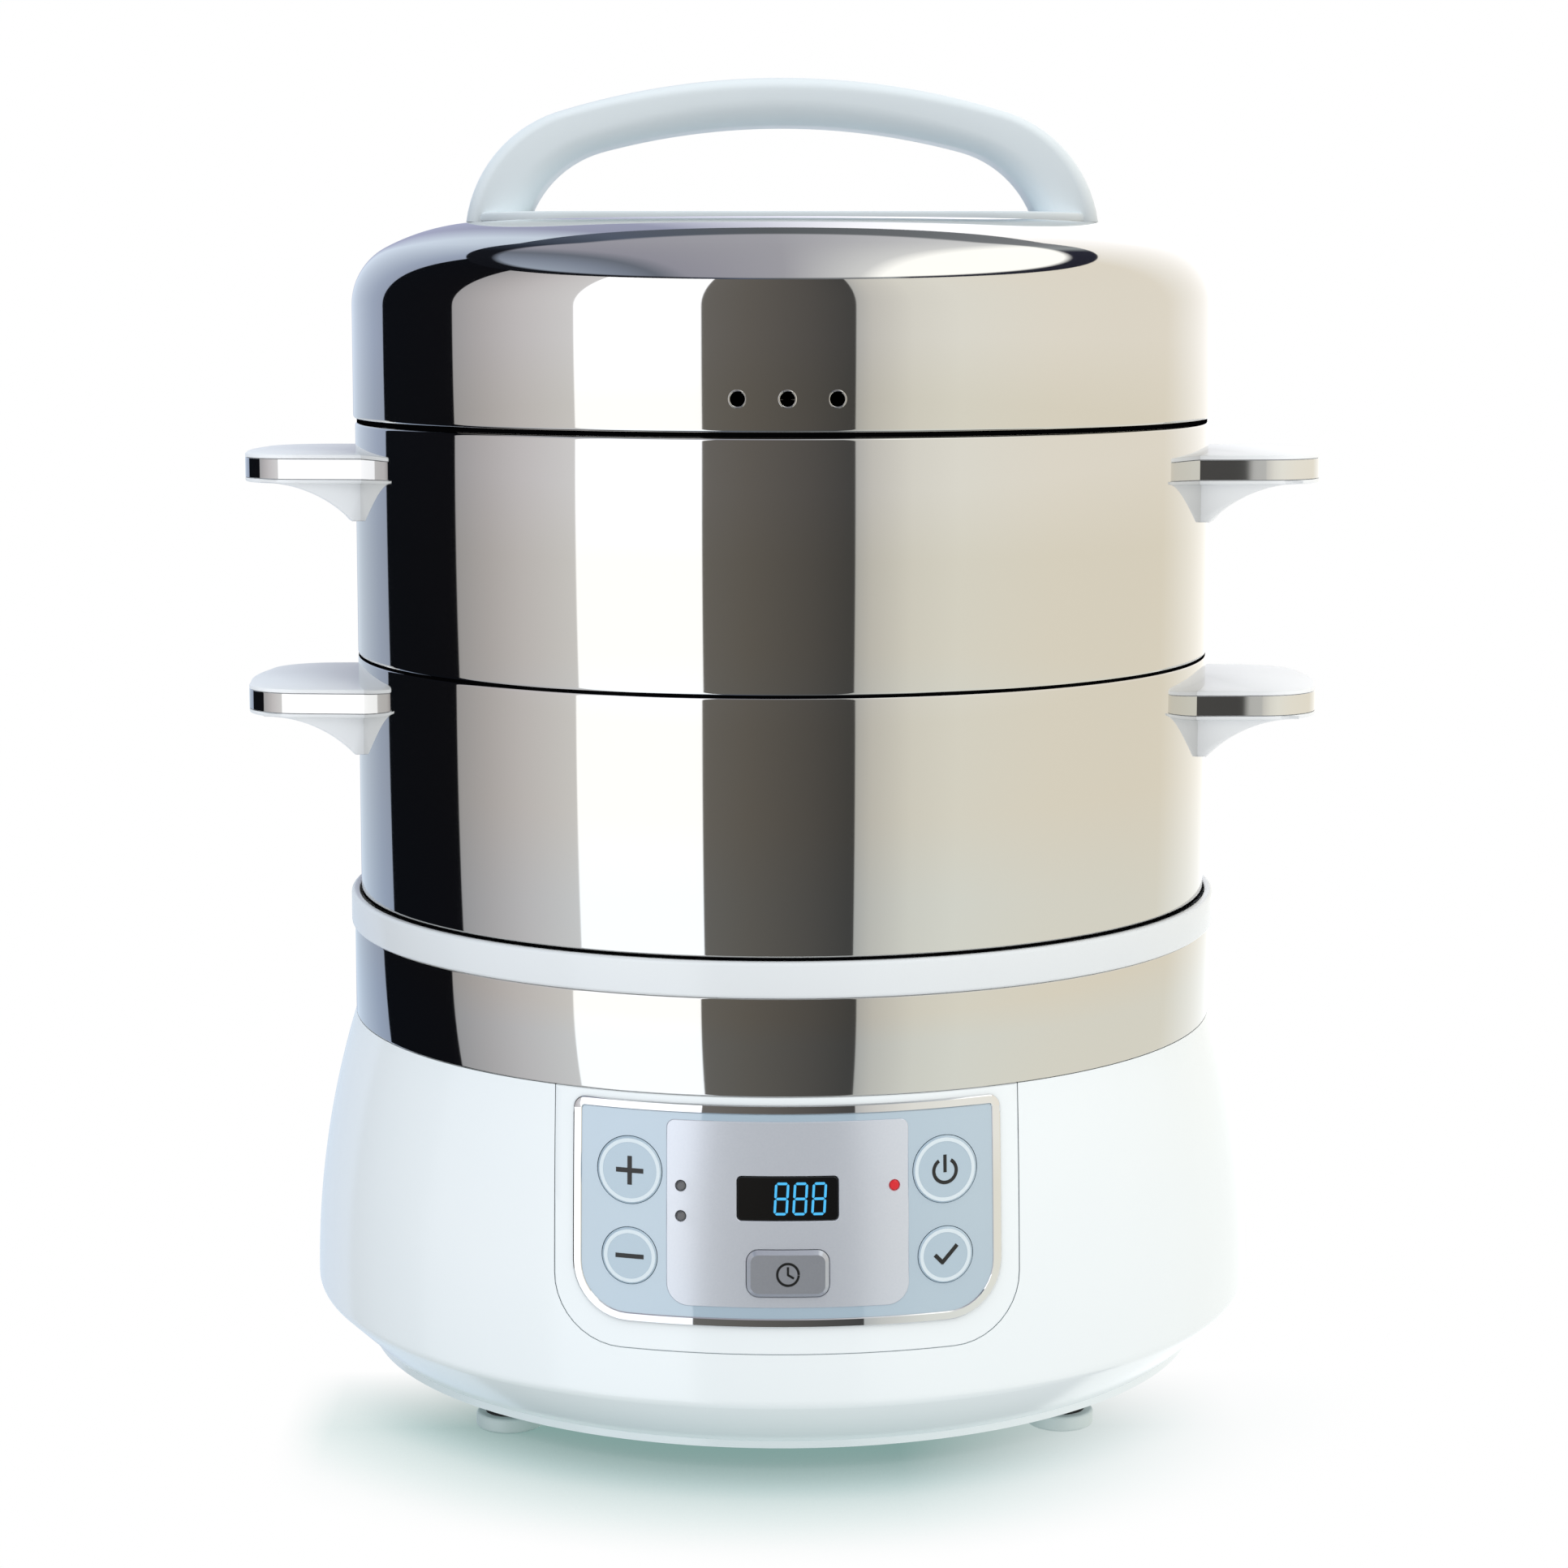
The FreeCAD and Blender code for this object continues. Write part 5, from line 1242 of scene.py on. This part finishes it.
def turned_about_z(points, angle):
    """The same points turned about the steamer's axis."""
    c, s = math.cos(angle), math.sin(angle)
    return [(x * c - y * s, x * s + y * c, z) for x, y, z in points]


# %% Handles on both tiers
GRIP_SOFT = 0.5 * MM
GROOVE = 0.9 * MM
GROOVE_FLOOR = GROOVE - 0.1 * MM
BAND_SOFT = 0.25 * MM
WEB_LAP = 0.2 * MM
for tier, rim in (("lower", LOWER_RIM), ("upper", UPPER_RIM)):
    top = rim - HANDLE_DROP
    band_top = top - HANDLE_LIP
    band_low = band_top - BAND_HEIGHT
    bottom = band_low - HANDLE_LIP
    knee = GRIP_SOFT * KNEE
    grip_levels = [(GRIP_SOFT, bottom), (knee, bottom + knee), (0.0, bottom + GRIP_SOFT)]
    grip_levels += [(0.0, band_low), (GROOVE, band_low), (GROOVE, band_top), (0.0, band_top)]
    grip_levels += [(0.0, top - GRIP_SOFT), (knee, top - knee), (GRIP_SOFT, top)]
    plate_solid = loft([(handle_outline(inset), z) for inset, z in grip_levels])
    grip_points, grip_faces = together(plate_solid, web(bottom + WEB_LAP))
    band_levels = [(GROOVE_FLOOR, band_low), (BAND_SOFT, band_low), (0.0, band_low + BAND_SOFT)]
    band_levels += [(0.0, band_top - BAND_SOFT), (BAND_SOFT, band_top), (GROOVE_FLOOR, band_top)]
    band_points, band_faces = loft([(handle_outline(inset), z) for inset, z in band_levels])
    for side, around in (("right", HANDLE_TURN), ("left", HANDLE_TURN + math.pi)):
        grip = piece_from(f"{tier}_{side}_grip", turned_about_z(grip_points, around), grip_faces, "grip")
        stands_for(grip, f"{tier}_{side}_handle")
        band = piece_from(f"{tier}_{side}_band", turned_about_z(band_points, around), band_faces, "chrome")
        stands_for(band, f"{tier}_{side}_handle_trim")

# %% [markdown]
# ## Lid handle
# The arch is a loft: at every step along it a rounded section spans the outer and the inner curve. Both
# curves are two corner arcs with a flatter arc that touches them. A curve with a bevel profile would be
# quicker, but its section only grows as a whole, and here the thickness changes alone. A flat plate joins
# the arch to the lid.

# %% Lid handle
ARCH_DEPTH = 30.0 * MM
ARCH_ROUND = 3.5 * MM
ARCH_INNER_ROUND = 7.0 * MM
ARCH_STEPS = 72
# Each curve: how far out and how far down its corner centres lie, the corner radius and the height.
ARCH_OUTER = (51.2 * MM, 5.0 * MM, 37.0 * MM, 39.6 * MM)
ARCH_INNER = (42.8 * MM, 9.0 * MM, 30.0 * MM, 26.6 * MM)


def arch_curve(offset, drop, radius, height, steps):
    """Points of a three-centred arch from its right foot to its left, evenly spaced along it."""
    above = height + drop
    crown = (offset**2 + above**2 - radius**2) / (2 * (above - radius))
    crown_z = height - crown
    touch = math.degrees(math.atan2(-drop - crown_z, offset))
    foot = math.degrees(math.asin(drop / radius))
    right = bend(offset, -drop, radius, foot, touch, 60)
    middle = bend(0.0, crown_z, crown, touch, 180 - touch, 60)
    left = [(-x, z) for x, z in reversed(right)]
    path = np.array(right + middle[1:-1] + left)
    walk = np.concatenate([[0], np.cumsum(np.linalg.norm(np.diff(path, axis=0), axis=1))])
    marks = np.linspace(0, walk[-1], steps)
    return np.stack([np.interp(marks, walk, path[:, axis]) for axis in (0, 1)], axis=1)


arch_points = []
for (ox, oz), (ix, iz) in zip(arch_curve(*ARCH_OUTER, ARCH_STEPS), arch_curve(*ARCH_INNER, ARCH_STEPS)):
    out = Vector((ox - ix, 0, oz - iz))
    thick = out.length
    out.normalize()
    centre = Vector(((ox + ix) / 2, 0, (oz + iz) / 2 + LID_TOP))
    section = rounded(ARCH_DEPTH / 2, -thick / 2, thick / 2, ARCH_INNER_ROUND, ARCH_ROUND, steps=8)
    arch_points += [centre + Vector((0, across, 0)) + out * up for across, up in section]
arch_solid = (arch_points, tube_faces(ARCH_STEPS, len(arch_points) // ARCH_STEPS))

# %% Foot plate of the arch
FOOT_PLATE_HALF = 87.4 * MM
FOOT_PLATE_WIDE = 31.0 * MM
FOOT_PLATE_CORNER = 30.8 * MM
FOOT_PLATE_SOFT = 1.0 * MM
FOOT_PLATE_TOP = LID_TOP + 2.6 * MM
UNDERCUT = 0.2 * MM
UNDERCUT_TOP = LID_TOP + 0.3 * MM
foot_plate = frame_outline(
    FOOT_PLATE_HALF, -FOOT_PLATE_WIDE, FOOT_PLATE_WIDE, FOOT_PLATE_CORNER, FOOT_PLATE_CORNER)
knee = FOOT_PLATE_SOFT * KNEE
foot_levels = [(UNDERCUT, LID_TOP), (0.0, UNDERCUT_TOP), (0.0, FOOT_PLATE_TOP - FOOT_PLATE_SOFT)]
foot_levels += [(knee, FOOT_PLATE_TOP - knee), (FOOT_PLATE_SOFT, FOOT_PLATE_TOP)]
foot_solid = loft([(foot_plate(inset), z) for inset, z in foot_levels])
arch_piece = piece_from("arch_grip", *together(arch_solid, foot_solid), "handle")
face_outward(arch_piece.data)
stands_for(arch_piece, "lid_handle")

# %% [markdown]
# ## Studio
# Polished steel shows the room more than itself. A round studio wall stands a metre away, in upright
# bands: a black flag, white softboxes, a dark gap at the camera and warm walls. Only mirror rays see it.
# A picture of a studio could light the steel too, but bands by angle can be set one by one. Blender keeps
# a colour ramp in 256 steps, which would blur an edge in a full turn, so each band has a ramp of its own.

# %% Studio bands
STEEL_SHARE = 0.69
BAND_EDGE = 0.1
STUDIO = [
    [(-180, "#C6C7D0"), (-172, "#8C8FA2"), (-166, "#8C8FA2"), (-160, "#B8C2CC"), (-131, "#909AAB"),
     (-124.2, "#8A93A4")],
    [(-124.2, "#0B0D11"), (-90.35, "#0D0D10")],
    [(-90.35, "#949292"), (-79, "#A6A2A1"), (-68, "#B5B1B0"), (-52.2, "#C3C1BF")],
    [(-52.2, "#FFFFFF"), (-19.8, "#FFFFFF")],
    [(-19.8, "#605D58"), (-9, "#59554F"), (6, "#4C4945"), (16.94, "#3E3D3B")],
    [(16.94, "#A6A5A0"), (21, "#B8B5AD"), (31, "#CBC8BD"), (43, "#D2CFC3"), (70, "#D4CEBF"), (114, "#D3CCBC"),
     (125, "#DAD5C9"), (141, "#E4E0D7"), (155, "#EBE8E2"), (165, "#FFFFFF"), (174, "#E8E8EA"),
     (180, "#C6C7D0")],
]
LOW_TINT = (0.97, 1.02, 1.08)
LOW_TINT_HEIGHTS = (0.04, -0.08)
HIGH_TINT = (1.06, 1.07, 1.12)
HIGH_TINT_HEIGHTS = (0.17, 0.27)


def colour_ramp(tree, value, stops, gain=1.0):
    """Colours along a value, from the first stop to the last."""
    low, high = stops[0][0], stops[-1][0]
    share = add(tree, "ShaderNodeMapRange", {0: value, 1: low, 2: high})
    ramp = add(tree, "ShaderNodeValToRGB", {0: share.outputs[0]})
    marks = ramp.color_ramp.elements
    while len(marks) < len(stops):
        marks.new(0.5)
    for mark, (place, _) in zip(marks, stops):
        mark.position = (place - low) / (high - low)
    for mark, (_, colour) in zip(marks, stops):
        mark.color = [channel * gain for channel in linear(colour)[:3]] + [1.0]
    return ramp.outputs[0]


def studio_bands(tree, parts):
    """The wall's colours by the angle in degrees from the camera's side, with sharp edges between bands."""
    toward = add(tree, "ShaderNodeMath", {0: parts[1], 1: -1.0}, operation="MULTIPLY")
    turn = add(tree, "ShaderNodeMath", {0: parts[0], 1: toward.outputs[0]}, operation="ARCTAN2")
    angle = add(tree, "ShaderNodeMath", {0: turn.outputs[0]}, operation="DEGREES").outputs[0]
    colour = colour_ramp(tree, angle, STUDIO[0], 1 / STEEL_SHARE)
    for stops in STUDIO[1:]:
        edge = stops[0][0]
        past = add(tree, "ShaderNodeMapRange", {0: angle, 1: edge - BAND_EDGE, 2: edge + BAND_EDGE})
        band = colour_ramp(tree, angle, stops, 1 / STEEL_SHARE)
        joined = add(tree, "ShaderNodeMix", {0: past.outputs[0], 6: colour, 7: band}, data_type="RGBA")
        colour = joined.outputs[2]
    return colour


def tinted(tree, colour, height, span, tint):
    """A colour that takes on a tint between two heights."""
    share = add(tree, "ShaderNodeMapRange", {0: height, 1: span[0], 2: span[1]})
    mixed = add(tree, "ShaderNodeMix", {0: share.outputs[0], 6: colour, 7: [*tint, 1.0]},
                data_type="RGBA", blend_type="MULTIPLY")
    return mixed.outputs[2]


# %% Studio wall
WALL_RADIUS = 1.0
WALL_LOW = -1.0
WALL_HIGH = 1.14
wall_points = []
for step in range(TURN_STEPS):
    angle = 2 * math.pi * step / TURN_STEPS
    for level in (WALL_LOW, WALL_HIGH):
        wall_points.append((WALL_RADIUS * math.cos(angle), WALL_RADIUS * math.sin(angle), level))
wall_count = len(wall_points)
wall_faces = []
for step in range(0, wall_count, 2):
    wall_faces.append([step, step + 1, (step + 3) % wall_count, (step + 2) % wall_count])
wall_mesh = bpy.data.meshes.new("studio_wall")
wall_mesh.from_pydata(wall_points, [], wall_faces)
wall_material, tree = new_material("studio_bands")
parts = add(tree, "ShaderNodeSeparateXYZ", {0: add(tree, "ShaderNodeTexCoord").outputs["Object"]}).outputs
colours = tinted(tree, studio_bands(tree, parts), parts[2], LOW_TINT_HEIGHTS, LOW_TINT)
colours = tinted(tree, colours, parts[2], HIGH_TINT_HEIGHTS, HIGH_TINT)
wall_light = add(tree, "ShaderNodeEmission", {"Color": colours, "Strength": 1.0})
wall_mesh.materials.append(finish_material(wall_material, tree, wall_light.outputs[0]))
studio_wall = linked("studio_wall", wall_mesh)
studio_wall.visible_camera = False
studio_wall.visible_diffuse = False
studio_wall.visible_shadow = False
studio_wall.visible_transmission = False
print("studio wall", len(STUDIO), "bands")

# %% [markdown]
# ## World
# Over the wall's edge mirror rays see a dim ceiling and, above it, a large softbox, both coloured from
# left to right. Matte surfaces see a plain soft dome that is warmer on one side, so that a colour renders
# about as it is written. The camera sees white. Light Path tells these rays apart, so one world serves
# all three.

# %% World
CEILING_GAP = [
    (-1, "#0E0F13"), (-0.42, "#14161C"), (-0.3, "#2A303C"), (-0.16, "#4E5666"), (0, "#54585C"),
    (0.3, "#74777B"), (0.4, "#8A8F92"), (0.46, "#272834"), (1, "#1C1D26"),
]
OVERHEAD = [
    (-1, "#9AA4B3"), (-0.7, "#929CAC"), (-0.55, "#788090"), (-0.45, "#646A76"), (-0.35, "#8C8C98"),
    (0, "#9A9AA2"), (0.28, "#CBCCCD"), (0.36, "#FFFFFC"), (1, "#FFFFFC"),
]
BOX_START = math.sin(math.radians(45))
BOX_EDGE = 0.02
DOME_REACH = 0.8
DOME_COOL = [0.67, 0.72, 0.8, 1]
DOME_WARM = [1.18, 1.14, 1.07, 1]
WHITE = [1, 1, 1, 1]
world = bpy.data.worlds.new("studio")
bpy.context.scene.world = world
bpy.context.scene.cycles.caustics_reflective = False
world.use_nodes = True
sky = world.node_tree
sky.nodes.clear()
parts = add(sky, "ShaderNodeSeparateXYZ", {0: add(sky, "ShaderNodeTexCoord").outputs["Generated"]}).outputs
bright = add(sky, "ShaderNodeMapRange", {0: parts[2], 1: BOX_START, 2: BOX_START + BOX_EDGE})
room = add(sky, "ShaderNodeMix", {
    0: bright.outputs[0], 6: colour_ramp(sky, parts[0], CEILING_GAP, 1 / STEEL_SHARE),
    7: colour_ramp(sky, parts[0], OVERHEAD, 1 / STEEL_SHARE)}, data_type="RGBA")
side_share = add(sky, "ShaderNodeMapRange", {0: parts[0], 1: -DOME_REACH, 2: DOME_REACH})
dome = add(sky, "ShaderNodeMix", {0: side_share.outputs[0], 6: DOME_COOL, 7: DOME_WARM}, data_type="RGBA")
path = add(sky, "ShaderNodeLightPath")
seen = add(sky, "ShaderNodeMix", {
    0: path.outputs["Is Glossy Ray"], 6: dome.outputs[2], 7: room.outputs[2]}, data_type="RGBA")
final = add(sky, "ShaderNodeMix", {
    0: path.outputs["Is Camera Ray"], 6: seen.outputs[2], 7: WHITE}, data_type="RGBA")
backdrop = add(sky, "ShaderNodeBackground", {"Color": final.outputs[2], "Strength": 1.0})
add(sky, "ShaderNodeOutputWorld", {"Surface": backdrop.outputs[0]})
print("world", len(sky.nodes), "nodes")

# %% [markdown]
# ## Floor and key light
# The floor is plain white, with a soft, faintly green shade where the base stands. A shadow catcher could
# hold that shade, but Ambient Occlusion gives it an exact reach and tint. It is kept to the floor in
# front of the base, and fades to the right. One large lamp overhead lights the white mouldings, and
# mirrors don't show it.

# %% Floor and key light
FLOOR_RADIUS = 1.6
CONTACT_REACH = 58 * MM
CONTACT = [
    (0.0, "#7C9F9A"), (0.12, "#8BA5A2"), (0.4, "#BCD0CF"), (0.74, "#E8F1F0"),
    (0.92, "#FFFFFF"), (1.0, "#FFFFFF"),
]
# Where the shade grows towards the front, thins towards the right and begins at the left.
FRONT_SPAN = {1: -30 * MM, 2: -78 * MM}
RIGHT_SPAN = {1: 30 * MM, 2: 125 * MM, 3: 1.0, 4: 0.15}
LEFT_SPAN = {1: -136 * MM, 2: -122 * MM}
floor_mesh = bpy.data.meshes.new("floor")
shape = bmesh.new()
bmesh.ops.create_circle(shape, cap_ends=True, segments=128, radius=FLOOR_RADIUS)
shape.to_mesh(floor_mesh)
shape.free()
floor = linked("floor", floor_mesh)
floor.location.z = FLOOR_LEVEL
floor_material, tree = new_material("white_floor")
near = add(tree, "ShaderNodeAmbientOcclusion", {"Distance": CONTACT_REACH}, samples=16)
tone = colour_ramp(tree, near.outputs["AO"], CONTACT)
parts = add(tree, "ShaderNodeSeparateXYZ", {0: add(tree, "ShaderNodeTexCoord").outputs["Object"]}).outputs
in_front = add(tree, "ShaderNodeMapRange", {0: parts[1], **FRONT_SPAN})
to_right = add(tree, "ShaderNodeMapRange", {0: parts[0], **RIGHT_SPAN})
to_left = add(tree, "ShaderNodeMapRange", {0: parts[0], **LEFT_SPAN})
shade = add(tree, "ShaderNodeMath", {0: in_front.outputs[0], 1: to_right.outputs[0]}, operation="MULTIPLY")
shade = add(tree, "ShaderNodeMath", {0: shade.outputs[0], 1: to_left.outputs[0]}, operation="MULTIPLY")
toned = add(tree, "ShaderNodeMix", {0: shade.outputs[0], 6: WHITE, 7: tone}, data_type="RGBA")
white = add(tree, "ShaderNodeEmission", {"Color": toned.outputs[2], "Strength": 1.0})
floor_mesh.materials.append(finish_material(floor_material, tree, white.outputs[0]))
floor.visible_glossy = False

KEY_PLACE = (-0.3, -0.6, 1.3)
KEY_AIM = Vector((0, 0, 0.15))
key = bpy.data.lights.new("overhead_softbox", "AREA")
key.energy = 4.0
key.shape = "DISK"
key.size = 0.9
key_lamp = linked("overhead_softbox", key)
key_lamp.location = KEY_PLACE
key_lamp.rotation_euler = (KEY_AIM - key_lamp.location).to_track_quat("-Z", "Y").to_euler()
key_lamp.visible_glossy = False
print("floor", FLOOR_RADIUS, "m, key light", key.energy, "W")

# %% [markdown]
# ## Camera
# The photograph looks at the front, a little from above, with a short telephoto lens. The numbers come
# from fitting the round rims: their ellipses fix the distance, the height and the tilt. Framing by eye
# would get close, but only a fit lets every rim lie on its place at once.

# %% Camera
PHOTO_SIDE = 1932
FOCAL_PIXELS = 4130.6
DISTANCE = 952.0 * MM
EYE_HEIGHT = 302.9 * MM
TILT = math.radians(6.5)
YAW = math.radians(0.65)
CENTRE_X = 963.5
CENTRE_Y = 833.6
camera = bpy.data.cameras.new("photo_camera")
camera.sensor_width = 36.0
camera.lens = camera.sensor_width * FOCAL_PIXELS / PHOTO_SIDE
camera.shift_x = (PHOTO_SIDE / 2 - CENTRE_X) / PHOTO_SIDE
camera.shift_y = (CENTRE_Y - PHOTO_SIDE / 2) / PHOTO_SIDE
eye = linked("photo_camera", camera)
eye.location = (-DISTANCE * math.sin(YAW), -DISTANCE * math.cos(YAW), EYE_HEIGHT)
eye.rotation_euler = (math.radians(90) - TILT, 0, -YAW)
bpy.context.scene.camera = eye
bpy.context.scene.view_settings.view_transform = "Standard"
print("lens", round(camera.lens, 1), "mm, shift", round(camera.shift_x, 4), round(camera.shift_y, 4))
